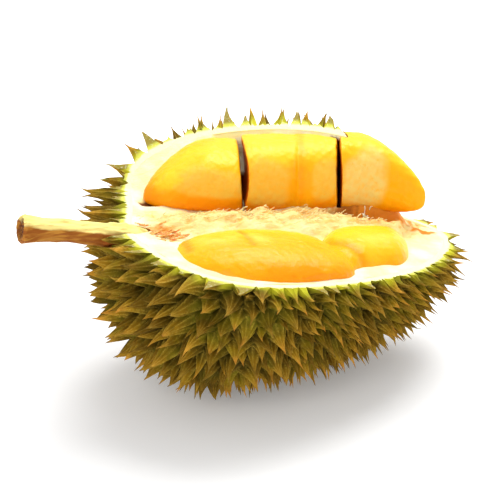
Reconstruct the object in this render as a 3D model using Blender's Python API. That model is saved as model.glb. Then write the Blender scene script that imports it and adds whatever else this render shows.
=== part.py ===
"""A durian lying on its side with two segments of husk cut away, showing the yellow flesh.

The fruit is built in its own axes, with its length along X, the stem end at -X and the
opening on top. An empty then tips it so that the stem end is raised, and stands it on
the floor at z = 0 with its bounding box centred on the origin. All sizes are in metres.
"""

import math
from dataclasses import dataclass

import bmesh
import bpy
import numpy as np
from mathutils import Matrix, Vector

# Body of the fruit: an egg, fuller at the stem end, whose radius follows body_radius().
HALF_LENGTH = 0.1220
GIRTH_RADIUS = 0.0885
TAPER = 0.29
TAPER_CURVE = 0.24
STEM_END_BLUNTNESS = 4.6
TIP_END_BLUNTNESS = 3.8
AXIS_TILT = math.radians(10)

# Shoulder behind the stem: the body is set back along X there, between each first and last value.
SHOULDER_SET_BACK = 0.0135
SHOULDER_ALONG = (0.080, 0.112)
SHOULDER_ACROSS = (-0.020, 0.038)
SHOULDER_HEIGHT = (-0.032, -0.004)
SHOULDER_SPINE_REACH = 1.25

# Husk: a thin green-brown rind that carries the spines.
RIND_THICKNESS = 0.0045
SPINE_COUNT = 1060
SPINE_LENGTH = 0.0160
SPINE_LENGTH_SPREAD = 0.13
SPINE_LEAN = 0.10
STEM_END_LEAN = 0.45
STEM_END_STRETCH = 0.25
FAR_END_STRETCH = 0.14
REAR_RIM_STRETCH = 0.16
VALLEY_DEPTH = 0.0012
SPINE_SEED = 27
RELAX_STEPS = 60

# The opening: a nearly level front cut, a steep rear cut and a cut over the far end. Each
# plane is a point and the normal on the side that is taken away.
FRONT_CUT = ((0.0, 0.0, 0.0), (0.0, -0.071, 1.0))
FRONT_SIDE = ((0.0, 0.004, 0.0), (0.0, -1.0, 0.0))
REAR_CUT = ((0.0, 0.0, 0.0), (-0.568, -0.798, 1.0))
END_CUT = ((0.050, 0.040, 0.060), (0.70, -0.17, 0.69))
CORE_CUT = ((0.0, 0.0, 0.0055), (0.0, 0.0, 1.0))
POD_FACE_CUT = ((0.0, 0.0275, 0.0), (-0.120, -1.0, 0.0))
BED_CUT = ((0.0, 0.0, -0.014), (-0.568, -0.798, 1.0))
BED_START = ((-0.030, 0.0, 0.0), (1.0, 0.0, 0.0))
BED_INSET = 0.0065

# Core: the raised strip of torn tissue between the two rows of pods.
CORE_CENTRE = (0.002, 0.004, -0.004)
CORE_HALF = (0.110, 0.020, 0.0140)

# Seating flat: the lowest spine tips are worn down by this much.
TIP_WEAR = 0.0028

# Stem.
STEM_RADIUS = 0.0075
STEM_END_RADIUS = 0.0092
STEM_ROOT = (-0.1000, -0.0030, -0.0075)
STEM_JOIN = (-0.1240, -0.0020, -0.0050)
STEM_TIP = (-0.1860, -0.0020, -0.0010)

GAP = 0.0003
POCKET_GAP = 0.0004
OVER_CUT = 0.0008
SLANT_FROM = (0.020, 0.025)


@dataclass(frozen=True)
class Pod:
    """One fleshy pod: a soft-cornered bar along X whose two ends taper and bend on their own.

    reach, ends, the bends, leans and uprights go first with the stem end, then with the far
    end. top_slope lifts the back of the pod and climb lifts its far end. leans slant an end
    face toward the back, and uprights slant it with height. The pod stays inside the body
    drawn in by room_inset, except that over_end frees it where the far end is cut away.
    """

    centre: tuple[float, float, float]
    reach: tuple[float, float]
    half: tuple[float, float]
    ends: tuple[float, float]
    top_slope: float = 0.0
    climb: float = 0.0
    stem_bend: tuple[float, float] = (0.0, 0.0)
    tip_bend: tuple[float, float] = (0.0, 0.0)
    leans: tuple[float, float] = (0.0, 0.0)
    uprights: tuple[float, float] = (0.0, 0.0)
    room_inset: float = 0.0075
    over_end: bool = False


PODS = {
    "rear_pod_stem_end": Pod(
        centre=(-0.0420, 0.0510, 0.0185),
        reach=(0.0455, 0.0124),
        half=(0.0270, 0.0235),
        ends=(1.7, 10.0),
        top_slope=0.14,
        stem_bend=(0.0, -0.016),
        leans=(0.0, 0.38),
        uprights=(0.0, -0.19),
    ),
    "rear_pod_mid_stem": Pod(
        centre=(-0.0080, 0.0480, 0.0255),
        reach=(0.0213, 0.0215),
        half=(0.0270, 0.0245),
        ends=(10.0, 10.0),
        top_slope=0.04,
        climb=0.09,
        leans=(0.38, 0.45),
        uprights=(-0.19, -0.16),
    ),
    "rear_pod_mid_tip": Pod(
        centre=(0.0260, 0.0440, 0.0290),
        reach=(0.0120, 0.0166),
        half=(0.0270, 0.0255),
        ends=(10.0, 10.0),
        top_slope=0.06,
        climb=0.09,
        leans=(0.45, 0.50),
        uprights=(-0.16, -0.19),
        room_inset=0.0064,
    ),
    "rear_pod_tip_end": Pod(
        centre=(0.0630, 0.0380, 0.0345),
        reach=(0.0194, 0.0410),
        half=(0.0225, 0.0240),
        ends=(10.0, 2.0),
        top_slope=0.05,
        tip_bend=(-0.034, -0.010),
        leans=(0.50, 0.0),
        uprights=(-0.19, 0.0),
        room_inset=0.0060,
        over_end=True,
    ),
    "front_pod_stem_end": Pod(
        centre=(-0.0340, -0.0470, -0.0135),
        reach=(0.0620, 0.0680),
        half=(0.0415, 0.0240),
        ends=(2.2, 2.0),
        stem_bend=(0.010, 0.002),
    ),
    "front_pod_tip_end": Pod(
        centre=(0.0420, -0.0320, -0.0110),
        reach=(0.0420, 0.0450),
        half=(0.0320, 0.0215),
        ends=(2.4, 1.8),
        stem_bend=(-0.010, 0.0),
        tip_bend=(0.020, 0.0),
    ),
}
POD_SQUARENESS = 2.8


def body_radius(x, inset=0.0):
    """Radius of the fruit's body at x along its axis, without the spines."""
    length = HALF_LENGTH - inset
    u = np.clip(np.asarray(x, float) / length, -1.0, 1.0)
    fullness = 1.0 - TAPER * u - TAPER_CURVE * u * u
    bluntness = np.where(u < 0, STEM_END_BLUNTNESS, TIP_END_BLUNTNESS)
    blunt = np.sqrt(np.maximum(1.0 - np.abs(u) ** bluntness, 0.0))
    return np.maximum(GIRTH_RADIUS * blunt * fullness - inset * blunt, 0.0)


def smooth_step(values, low, high):
    """Rises softly from 0 at low to 1 at high."""
    share = np.clip((values - low) / (high - low), 0.0, 1.0)
    return share * share * (3.0 - 2.0 * share)


def shoulder_shift(points):
    """How far the body is set back along X at these points."""
    along = smooth_step(-points[:, 0], *SHOULDER_ALONG)
    across = smooth_step(points[:, 1], *SHOULDER_ACROSS)
    return SHOULDER_SET_BACK * along * across * smooth_step(points[:, 2], *SHOULDER_HEIGHT)


def set_back(points):
    """Points of the round form, with the shoulder behind the stem set back."""
    moved = points.copy()
    moved[:, 0] += shoulder_shift(points)
    return moved


class BodySurface:
    """The smooth body as a distance from the centre in every direction."""

    def __init__(self, inset=0.0):
        length = HALF_LENGTH - inset
        x = -length * np.cos(np.linspace(0.0, math.pi, 1201))
        radius = body_radius(x, inset)
        angle = np.arctan2(radius, x)
        order = np.argsort(angle)
        self.angle = angle[order]
        self.distance = np.hypot(x, radius)[order]

    def round_points(self, directions):
        """The points of the round form in these unit directions."""
        angle = np.arccos(np.clip(directions[:, 0], -1.0, 1.0))
        return directions * np.interp(angle, self.angle, self.distance)[:, None]

    def points(self, directions):
        """The surface points in these unit directions of the round form."""
        return set_back(self.round_points(directions))

    def normals(self, directions, step=0.02):
        """Outward normals, from a small triangle laid on the surface."""
        guide = np.where(np.abs(directions[:, :1]) > 0.9, [[0.0, 1.0, 0.0]], [[1.0, 0.0, 0.0]])
        side = unit(np.cross(directions, guide))
        up = np.cross(directions, side)
        corners = [
            self.points(unit(directions + step * (math.cos(a) * side + math.sin(a) * up)))
            for a in (0.0, 2 * math.pi / 3, 4 * math.pi / 3)
        ]
        normal = unit(np.cross(corners[1] - corners[0], corners[2] - corners[0]))
        facing = np.sign((normal * directions).sum(axis=1, keepdims=True))
        return normal * facing


def unit(vectors):
    return vectors / np.linalg.norm(vectors, axis=-1, keepdims=True)


def spine_directions(surface):
    """Evenly spread directions of the spines: random ones that then push each other apart."""
    rng = np.random.default_rng(SPINE_SEED)
    directions = unit(rng.normal(size=(SPINE_COUNT, 3)))
    area = 4 * math.pi * GIRTH_RADIUS**2 * 1.15
    reach = 1.6 * math.sqrt(area / SPINE_COUNT)
    for _ in range(RELAX_STEPS):
        points = surface.points(directions)
        apart = points[:, None, :] - points[None, :, :]
        distance = np.linalg.norm(apart, axis=2)
        np.fill_diagonal(distance, reach)
        push = np.maximum(1.0 - distance / reach, 0.0) / np.maximum(distance, 1e-6)
        shift = (apart * push[:, :, None]).sum(axis=1)
        directions = unit(points + 0.25 * reach * shift)
    return directions


def triangulated(directions):
    """Triangles that join neighbouring directions, as index triples seen from outside."""
    mesh = bmesh.new()
    for direction in directions:
        mesh.verts.new(direction)
    mesh.verts.ensure_lookup_table()
    bmesh.ops.convex_hull(mesh, input=mesh.verts)
    bmesh.ops.triangulate(mesh, faces=mesh.faces)
    mesh.verts.index_update()
    triangles = np.array([[v.index for v in face.verts] for face in mesh.faces])
    mesh.free()
    a, b, c = (directions[triangles[:, i]] for i in range(3))
    inward = (np.cross(b - a, c - a) * a).sum(axis=1) < 0
    triangles[inward] = triangles[inward][:, ::-1]
    return triangles


def spine_tips(surface, directions):
    """Where each spine ends: out along the normal, swept toward the nearer pole of the fruit."""
    rng = np.random.default_rng(SPINE_SEED + 1)
    base = surface.points(directions)
    normal = surface.normals(directions)
    length = SPINE_LENGTH * (1.0 + SPINE_LENGTH_SPREAD * rng.uniform(-1, 1, len(base)))
    lean = SPINE_LEAN * rng.normal(size=base.shape)
    near_stem = np.clip((-base[:, 0] / HALF_LENGTH - 0.35) / 0.5, 0.0, 1.0)
    lean[:, 0] -= STEM_END_LEAN * near_stem
    near_far_end = np.clip((base[:, 0] / HALF_LENGTH - 0.35) / 0.5, 0.0, 1.0)
    rear_rim = smooth_step(base[:, 1], 0.030, 0.060) * smooth_step(base[:, 2], -0.010, 0.015)
    length *= 1.0 + STEM_END_STRETCH * near_stem + FAR_END_STRETCH * near_far_end
    length *= 1.0 + REAR_RIM_STRETCH * rear_rim
    tips = base + unit(normal + lean) * length[:, None]
    tips[:, 0] -= SHOULDER_SPINE_REACH * shoulder_shift(surface.round_points(directions))
    return tips


def mesh_object(name, points, faces):
    mesh = bpy.data.meshes.new(name)
    mesh.from_pydata([tuple(p) for p in points], [], [tuple(int(i) for i in f) for f in faces])
    mesh.validate()
    obj = bpy.data.objects.new(name, mesh)
    bpy.context.scene.collection.objects.link(obj)
    return obj


def spiny_ovoid(name):
    """A closed shell of pyramids: each spine's tip joined to the valleys around it."""
    surface = BodySurface()
    directions = spine_directions(surface)
    triangles = triangulated(directions)
    tips = spine_tips(surface, directions)
    valley_directions = unit(directions[triangles].sum(axis=1))
    valleys = surface.points(valley_directions)
    valleys -= VALLEY_DEPTH * valley_directions
    across = {}
    for index, (a, b, c) in enumerate(triangles):
        for start, end in ((a, b), (b, c), (c, a)):
            across[(int(start), int(end))] = index
    faces = []
    for (start, end), valley in across.items():
        faces.append((start, len(tips) + across[(end, start)], len(tips) + valley))
    return mesh_object(name, np.vstack([tips, valleys]), faces)


def turned_solid(name, profile, segments):
    """A solid of revolution about X from (x, radius) pairs that start and end on the axis."""
    rings = profile[1:-1]
    points = [(profile[0][0], 0.0, 0.0)]
    for x, radius in rings:
        for k in range(segments):
            angle = 2 * math.pi * k / segments
            points.append((x, radius * math.cos(angle), radius * math.sin(angle)))
    points.append((profile[-1][0], 0.0, 0.0))
    last = len(points) - 1
    faces = []
    for k in range(segments):
        after = (k + 1) % segments
        faces.append((0, 1 + after, 1 + k))
        for ring in range(len(rings) - 1):
            low = 1 + ring * segments
            high = low + segments
            faces.append((low + k, low + after, high + after, high + k))
        top = 1 + (len(rings) - 1) * segments
        faces.append((last, top + k, top + after))
    return mesh_object(name, set_back(np.array(points)), faces)


def inner_ovoid(name, inset, rings=22, segments=44):
    """The body's shape drawn in by the given amount."""
    length = HALF_LENGTH - inset
    x = -length * np.cos(np.linspace(0.0, math.pi, rings + 2))
    profile = [(float(v), float(r)) for v, r in zip(x, body_radius(x, inset))]
    return turned_solid(name, profile, segments)


def cutter(obj):
    obj.hide_render = True
    obj.display_type = "WIRE"
    return obj


def half_space_block(name, planes, size=0.6):
    """A large block, keeping only what lies on the positive side of every (point, normal)."""
    mesh = bmesh.new()
    bmesh.ops.create_cube(mesh, size=size)
    for point, normal in planes:
        everything = mesh.verts[:] + mesh.edges[:] + mesh.faces[:]
        bmesh.ops.bisect_plane(
            mesh, geom=everything, plane_co=point, plane_no=normal, clear_inner=True
        )
        corners = [vertex.co.copy() for vertex in mesh.verts]
        mesh.clear()
        for corner in corners:
            mesh.verts.new(corner)
        bmesh.ops.convex_hull(mesh, input=mesh.verts)
    bmesh.ops.recalc_face_normals(mesh, faces=mesh.faces)
    data = bpy.data.meshes.new(name)
    mesh.to_mesh(data)
    mesh.free()
    obj = bpy.data.objects.new(name, data)
    bpy.context.scene.collection.objects.link(obj)
    return cutter(obj)


def combine(obj, other, operation="DIFFERENCE"):
    """Cuts, joins or limits one closed mesh by another.

    The blocks that cut the opening share a plane, and the manifold solver closes such faces.
    """
    modifier = obj.modifiers.new(other.name, "BOOLEAN")
    modifier.operation = operation
    modifier.solver = "MANIFOLD"
    modifier.object = other
    return modifier


def opening_cutters():
    """The blocks that take the husk off the top and off the far end, and clear the middle."""
    bed = cutter(inner_ovoid("cut_bed", BED_INSET))
    combine(bed, half_space_block("bed_limit", [FRONT_CUT, BED_CUT, BED_START]), "INTERSECT")
    return {
        "front": half_space_block("cut_front", [FRONT_CUT, FRONT_SIDE]),
        "top": half_space_block("cut_top", [FRONT_CUT, REAR_CUT]),
        "end": half_space_block("cut_end", [FRONT_CUT, END_CUT]),
        "middle": half_space_block("cut_middle", [CORE_CUT, POD_FACE_CUT]),
        "bed": bed,
    }


def moved_plane(plane, distance):
    """The same cut, moved toward the side that is taken away."""
    point, normal = plane
    return (tuple(Vector(point) + distance * Vector(normal).normalized()), normal)


def pod_room(name, pod, grow=0.0):
    """The space that a pod stays inside."""
    room = cutter(inner_ovoid(name, pod.room_inset - grow))
    if pod.over_end:
        planes = [moved_plane(plane, OVER_CUT - grow) for plane in (FRONT_CUT, END_CUT)]
        combine(room, half_space_block(name + "_over", planes), "UNION")
    return room


def soft(value, squareness):
    """Turns the sine or cosine of an angle into a point of a superellipse."""
    return math.copysign(abs(value) ** (2.0 / squareness), value)


def slanted(pod, point, grow):
    """A point of the straight pod, moved as its climb and its slanted ends ask."""
    along = point.x - pod.centre[0]
    side = 0 if along < 0 else 1
    share = 0.5 + (side - 0.5) * (along / (pod.reach[side] + grow)) ** 2
    x, y, z = point.x, point.y, point.z + pod.climb * along
    slants = [
        lean * (y - SLANT_FROM[0]) + upright * (z - SLANT_FROM[1])
        for lean, upright in zip(pod.leans, pod.uprights)
    ]
    return Vector((x + (1.0 - share) * slants[0] + share * slants[1], y, z))


def pod_solid(name, pod, grow=0.0, rings=15, segments=20):
    points = []
    stations = [math.pi * i / rings for i in range(rings + 1)]
    for angle in stations:
        side = 0 if angle > math.pi / 2 else 1
        squareness = pod.ends[side]
        along = soft(math.cos(angle), squareness)
        narrow = soft(math.sin(angle), squareness) if 0 < angle < math.pi else 0.0
        bend = (pod.stem_bend, pod.tip_bend)[side]
        x = along * (pod.reach[side] + grow)
        shift = Vector((x, bend[0] * along * along, bend[1] * along * along))
        centre = Vector(pod.centre) + shift
        if angle in (stations[0], stations[-1]):
            points.append(centre)
            continue
        for k in range(segments):
            turn = 2 * math.pi * k / segments
            y = (pod.half[0] + grow) * narrow * soft(math.cos(turn), POD_SQUARENESS)
            z = (pod.half[1] + grow) * narrow * soft(math.sin(turn), POD_SQUARENESS)
            points.append(centre + Vector((0.0, y, z + pod.top_slope * y)))
    points = [slanted(pod, point, grow) for point in points]
    last = len(points) - 1
    faces = []
    for k in range(segments):
        after = (k + 1) % segments
        faces.append((0, 1 + k, 1 + after))
        for ring in range(rings - 2):
            near = 1 + ring * segments
            far = near + segments
            faces.append((near + k, far + k, far + after, near + after))
        end = 1 + (rings - 2) * segments
        faces.append((last, end + after, end + k))
    return mesh_object(name, points, faces)


def core_ridge(name):
    """The raised strip along the middle, as a long low ellipsoid."""
    mesh = bmesh.new()
    place = Matrix.Translation(CORE_CENTRE) @ Matrix.Diagonal((*CORE_HALF, 1.0))
    bmesh.ops.create_uvsphere(mesh, u_segments=28, v_segments=14, radius=1.0, matrix=place)
    data = bpy.data.meshes.new(name)
    mesh.to_mesh(data)
    mesh.free()
    obj = bpy.data.objects.new(name, data)
    bpy.context.scene.collection.objects.link(obj)
    return obj


def stem_solid(name, grow=0.0, segments=20):
    """The stalk: swollen where it joins the fruit, slim in the middle, flared where it was cut."""
    root, join, tip = Vector(STEM_ROOT), Vector(STEM_JOIN), Vector(STEM_TIP)
    stations = [
        (root, 0.0060),
        (root.lerp(join, 0.5), 0.0092),
        (join, 0.0098),
        (join.lerp(tip, 0.16), 0.0084),
        (join.lerp(tip, 0.40), STEM_RADIUS),
        (join.lerp(tip, 0.75), STEM_RADIUS),
        (join.lerp(tip, 0.92), STEM_END_RADIUS - 0.0006),
        (tip - (tip - join).normalized() * 0.0015, STEM_END_RADIUS),
        (tip, STEM_END_RADIUS - 0.0012),
    ]
    along = (tip - root).normalized()
    side = along.cross(Vector((0, 0, 1))).normalized()
    up = side.cross(along)
    points = []
    for centre, radius in stations:
        for k in range(segments):
            angle = 2 * math.pi * k / segments
            offset = math.cos(angle) * side + math.sin(angle) * up
            points.append(centre + offset * (radius + grow))
    faces = []
    for ring in range(len(stations) - 1):
        low = ring * segments
        for k in range(segments):
            after = (k + 1) % segments
            faces.append((low + k, low + segments + k, low + segments + after, low + after))
    end = (len(stations) - 1) * segments
    faces.append(tuple(range(segments)))
    faces.append(tuple(range(end + segments - 1, end - 1, -1)))
    return mesh_object(name, points, faces)


def material(name, colour, roughness, subsurface=0.0, coat=0.0):
    """A plain surface in a linear colour."""
    made = bpy.data.materials.new(name)
    made.use_nodes = True
    shader = made.node_tree.nodes["Principled BSDF"]
    shader.inputs["Base Color"].default_value = (*colour, 1.0)
    shader.inputs["Roughness"].default_value = roughness
    shader.inputs["Subsurface Weight"].default_value = subsurface
    shader.inputs["Subsurface Scale"].default_value = 0.004
    shader.inputs["Coat Weight"].default_value = coat
    return made


def husk_material():
    return material("husk_rind", (0.235, 0.165, 0.035), 0.62)


def pith_material():
    return material("pith_tissue", (0.930, 0.860, 0.500), 0.70, subsurface=0.10)


def stem_material():
    return material("stem_bark", (0.420, 0.200, 0.050), 0.75)


def flesh_material(name):
    return material(name, (0.960, 0.560, 0.020), 0.32, subsurface=0.15, coat=0.25)


def dress(nodes):
    """Gives each node its own finish."""
    finishes = {"husk": husk_material, "pith": pith_material, "stem": stem_material}
    for name, node in nodes.items():
        made = finishes[name]() if name in finishes else flesh_material(name + "_flesh")
        node.data.materials.append(made)


def wear_tips(husk, fruit):
    """Flattens the lowest spine tips, level in the tipped fruit, so that it stands on them."""
    down = fruit.matrix_world.to_3x3().inverted() @ Vector((0.0, 0.0, -1.0))
    lowest = max(husk.data.vertices, key=lambda vertex: vertex.co.dot(down)).co
    floor = lowest - down * TIP_WEAR
    combine(husk, half_space_block("cut_floor", [(floor, down)]))


def stand_on_floor(fruit, nodes):
    """Moves the whole fruit so that its bounding box stands on the origin."""
    graph = bpy.context.evaluated_depsgraph_get()
    corners = []
    for node in nodes:
        mesh = node.evaluated_get(graph).data
        corners += [node.matrix_world @ vertex.co for vertex in mesh.vertices]
    low = Vector(min(c[i] for c in corners) for i in range(3))
    high = Vector(max(c[i] for c in corners) for i in range(3))
    middle = (low + high) / 2
    fruit.location -= Vector((middle.x, middle.y, low.z))


def main():
    for obj in list(bpy.data.objects):
        bpy.data.objects.remove(obj)
    fruit = bpy.data.objects.new("fruit", None)
    fruit.rotation_euler = (0.0, AXIS_TILT, 0.0)
    bpy.context.scene.collection.objects.link(fruit)
    bpy.context.view_layer.update()

    cuts = opening_cutters()
    husk = spiny_ovoid("husk")
    wear_tips(husk, fruit)
    for side in ("front", "top", "end"):
        combine(husk, cuts[side])
    combine(husk, cutter(inner_ovoid("cut_inner", RIND_THICKNESS)))

    pith = inner_ovoid("pith", RIND_THICKNESS + GAP)
    for block in cuts.values():
        combine(pith, block)
    ridge = cutter(core_ridge("core_ridge"))
    combine(ridge, cutter(inner_ovoid("core_limit", RIND_THICKNESS + 2 * GAP)), "INTERSECT")
    combine(pith, ridge, "UNION")

    pods = {}
    pockets = {}
    for name, pod in PODS.items():
        pods[name] = pod_solid(name, pod)
        combine(pods[name], pod_room("room_" + name, pod), "INTERSECT")
        pockets[name] = cutter(pod_solid("cut_" + name, pod, grow=POCKET_GAP))
        combine(pockets[name], pod_room("wide_room_" + name, pod, POCKET_GAP), "INTERSECT")
        combine(pith, pockets[name])
    combine(pods["front_pod_tip_end"], pockets["front_pod_stem_end"])
    combine(pods["rear_pod_mid_tip"], pockets["rear_pod_mid_stem"])

    stem = stem_solid("stem")
    stem_hole = cutter(stem_solid("cut_stem", grow=POCKET_GAP))
    combine(husk, stem_hole)
    combine(pith, stem_hole)

    nodes = {"husk": husk, "pith": pith, "stem": stem, **pods}
    dress(nodes)
    for obj in bpy.data.objects:
        if obj is not fruit:
            obj.parent = fruit
    bpy.context.view_layer.update()
    stand_on_floor(fruit, nodes.values())


main()
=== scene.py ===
"""An opened durian on its side: a spiny husk, cream pith, plump yellow pods and a cut stem.

Shapes are laid out in the fruit's own axes, with its length along X, the stem end at -X and
the opening on top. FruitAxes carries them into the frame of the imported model. Sizes are in
metres.
"""

import logging
import math
from collections.abc import Callable, Mapping, Sequence
from dataclasses import dataclass, field
from enum import Enum

import bmesh
import bpy
import numpy as np
from mathutils import Matrix, Vector

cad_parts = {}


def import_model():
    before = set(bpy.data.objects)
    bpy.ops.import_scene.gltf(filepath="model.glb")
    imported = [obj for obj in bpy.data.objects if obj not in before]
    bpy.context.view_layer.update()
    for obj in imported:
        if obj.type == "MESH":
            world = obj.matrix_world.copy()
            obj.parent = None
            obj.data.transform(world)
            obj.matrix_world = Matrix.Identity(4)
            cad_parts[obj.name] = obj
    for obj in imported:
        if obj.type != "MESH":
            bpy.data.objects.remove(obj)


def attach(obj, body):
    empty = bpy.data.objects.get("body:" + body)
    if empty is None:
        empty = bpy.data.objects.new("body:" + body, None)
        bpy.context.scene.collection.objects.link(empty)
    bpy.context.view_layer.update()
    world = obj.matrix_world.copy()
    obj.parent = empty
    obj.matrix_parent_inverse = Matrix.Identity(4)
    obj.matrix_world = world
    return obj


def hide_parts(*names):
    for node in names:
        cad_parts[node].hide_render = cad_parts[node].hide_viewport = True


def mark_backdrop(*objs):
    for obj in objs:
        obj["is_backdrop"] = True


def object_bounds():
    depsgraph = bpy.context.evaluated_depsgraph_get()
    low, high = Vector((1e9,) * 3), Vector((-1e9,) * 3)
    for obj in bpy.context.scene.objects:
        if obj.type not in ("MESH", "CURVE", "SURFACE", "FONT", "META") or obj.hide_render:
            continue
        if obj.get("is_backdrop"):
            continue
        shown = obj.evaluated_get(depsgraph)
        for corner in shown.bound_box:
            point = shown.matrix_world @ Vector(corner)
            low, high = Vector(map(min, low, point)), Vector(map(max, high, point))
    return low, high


LOG = logging.getLogger("durian")
Colour = tuple[float, float, float]
Point = tuple[float, float, float]
Array = np.ndarray
Piece = bpy.types.Object
Mesh = bpy.types.Mesh
Socket = bpy.types.NodeSocket
BODY = "root"
SLANT_FROM = (0.020, 0.025)  # place across and height where a slanted end face has not moved
THIRD_OF_TURN = 2 * math.pi / 3


class Slot(Enum):
    """The record's material slots."""

    HUSK = "husk"
    PITH = "pith"
    STEM = "stem"
    FLESH = "flesh"


class Operation(Enum):
    """What a Boolean does with its second mesh."""

    CUT = "DIFFERENCE"
    JOIN = "UNION"
    KEEP = "INTERSECT"


# ---- mesh helpers


def unit(vectors: Array) -> Array:
    """Scales vectors to length 1."""
    return vectors / np.maximum(np.linalg.norm(vectors, axis=-1, keepdims=True), 1e-12)


def smooth_step(value: Array, low: float, high: float) -> Array:
    """Rises softly from 0 at low to 1 at high."""
    share = np.clip((value - low) / (high - low), 0.0, 1.0)
    return share * share * (3.0 - 2.0 * share)


def ripple(points: Array, pitch: float, seed: int, waves: int = 14) -> Array:
    """Smooth seeded unevenness over space, as a sum of waves in random directions.

    Args:
        points: Positions, one a row.
        pitch: The usual distance between two swells.
        seed: Seed of the directions and phases.
        waves: How many waves are added.

    Returns:
        One number a point, mostly between -1 and 1.
    """
    rng = np.random.default_rng(seed)
    directions = unit(rng.normal(size=(waves, points.shape[1])))
    rates = 2 * math.pi / pitch * rng.uniform(0.6, 1.5, waves)
    phases = rng.uniform(0, 2 * math.pi, waves)
    total = np.sin(points @ (directions * rates[:, None]).T + phases).sum(axis=1)
    return total / math.sqrt(waves)


def mesh_object(name: str, points: Sequence[Sequence[float]], faces: Sequence[Sequence[int]]) -> Piece:
    """Makes a mesh object and links it to the scene.

    Args:
        name: The object's name.
        points: Vertex positions.
        faces: Vertex indices of each face.

    Returns:
        The new object.
    """
    mesh = bpy.data.meshes.new(name)
    mesh.from_pydata([tuple(map(float, p)) for p in points], [], [tuple(map(int, f)) for f in faces])
    mesh.validate()
    return linked(name, mesh)


def linked(name: str, mesh: Mesh) -> Piece:
    """Puts a mesh in the scene under this name.

    Args:
        name: The object's name.
        mesh: Its mesh.

    Returns:
        The new object.
    """
    made = bpy.data.objects.new(name, mesh)
    bpy.context.scene.collection.objects.link(made)
    return made


def settle(piece: Piece) -> Piece:
    """Replaces a piece's mesh with what its modifiers make, and removes the modifiers.

    Args:
        piece: The object to settle.

    Returns:
        The same object.
    """
    graph = bpy.context.evaluated_depsgraph_get()
    mesh = bpy.data.meshes.new_from_object(piece.evaluated_get(graph), depsgraph=graph)
    piece.modifiers.clear()
    old = piece.data
    piece.data = mesh
    bpy.data.meshes.remove(old)
    mesh.name = piece.name
    return piece


def combine(piece: Piece, other: Piece, operation: Operation) -> None:
    """Cuts, joins or limits one closed piece by another, which is then removed.

    Args:
        piece: The piece that changes.
        other: The mesh that it meets.
        operation: What happens to it.
    """
    modifier = piece.modifiers.new("meet", "BOOLEAN")
    modifier.operation = operation.value
    modifier.solver = "MANIFOLD"
    modifier.object = other
    settle(piece)
    bpy.data.objects.remove(other)


def read(
    items: bpy.types.bpy_prop_collection, name: str, kind: type = float, width: int = 1
) -> Array:
    """Reads a number or a row of numbers from each item of a mesh.

    Args:
        items: The mesh's vertices, corners or faces.
        name: What is read, such as an area or a place.
        kind: The numbers' type.
        width: How many numbers each item has.

    Returns:
        The numbers, in rows where each item has several.
    """
    flat = np.empty(len(items) * width, kind)
    items.foreach_get(name, flat)
    return flat.reshape(-1, width) if width > 1 else flat


def coordinates(mesh: Mesh) -> Array:
    """The mesh's vertex positions, one a row."""
    return read(mesh.vertices, "co", width=3)


def point_normals(mesh: Mesh) -> Array:
    """The mesh's vertex normals, one a row."""
    return read(mesh.vertex_normals, "vector", width=3)


def move_to(mesh: Mesh, points: Array) -> None:
    """Sets the mesh's vertex positions, one a row."""
    mesh.vertices.foreach_set("co", np.ascontiguousarray(points, float).ravel())
    mesh.update()


def paint(mesh: Mesh, name: str, values: Array, domain: str = "POINT") -> None:
    """Stores a number or a vector on each vertex, corner or face, for a later step to read.

    Args:
        mesh: The mesh.
        name: The attribute's name.
        values: Numbers, or vectors one a row.
        domain: POINT, CORNER or FACE.
    """
    if name in mesh.attributes:
        mesh.attributes.remove(mesh.attributes[name])
    kind, field_name = ("FLOAT", "value") if values.ndim == 1 else ("FLOAT_VECTOR", "vector")
    layer = mesh.attributes.new(name, kind, domain)
    layer.data.foreach_set(field_name, np.ascontiguousarray(values, np.float32).ravel())


def strongest(shares: Sequence[Array], count: int) -> Array:
    """The greatest of these shares at each of count points, or 0 where there are none."""
    return np.max(list(shares) or [np.zeros(count)], axis=0)


def coat(
    mesh: Mesh,
    materials: Sequence[bpy.types.Material],
    which: Array | None = None,
    sharp_from: float | None = None,
) -> None:
    """Gives a mesh its materials and smooth faces.

    Args:
        mesh: The mesh.
        materials: Its materials, in order.
        which: Each face's place in that order, or None where all have the first.
        sharp_from: Angle in degrees from which an edge stays sharp, or None.
    """
    count = len(mesh.polygons)
    mesh.materials.clear()
    for material in materials:
        mesh.materials.append(material)
    indices = np.zeros(count, np.int32) if which is None else which.astype(np.int32)
    mesh.polygons.foreach_set("material_index", indices)
    mesh.polygons.foreach_set("use_smooth", np.ones(count, bool))
    if sharp_from is not None:
        mesh.set_sharp_from_angle(angle=math.radians(sharp_from))


def tube_faces(rings: int, segments: int, first: int = 0) -> list[tuple[int, ...]]:
    """Quads between rings of vertices laid one after another.

    Args:
        rings: Number of rings.
        segments: Vertices in a ring.
        first: Index of the first ring's first vertex.

    Returns:
        The quads, facing out where rings run along the cross product of two ring steps.
    """
    faces = []
    for ring in range(rings - 1):
        near = first + ring * segments
        for k in range(segments):
            after = (k + 1) % segments
            faces.append((near + k, near + after, near + segments + after, near + segments + k))
    return faces


def pointed_tube_faces(rings: int, segments: int) -> list[tuple[int, ...]]:
    """Faces of a closed tube whose first and last vertices are its two poles.

    Args:
        rings: Rings between the poles.
        segments: Vertices in a ring.

    Returns:
        The faces.
    """
    last = rings * segments + 1
    faces = tube_faces(rings, segments, 1)
    for k in range(segments):
        after = (k + 1) % segments
        faces.append((0, 1 + after, 1 + k))
        faces.append((last, last - segments + k, last - segments + after))
    return faces


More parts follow.
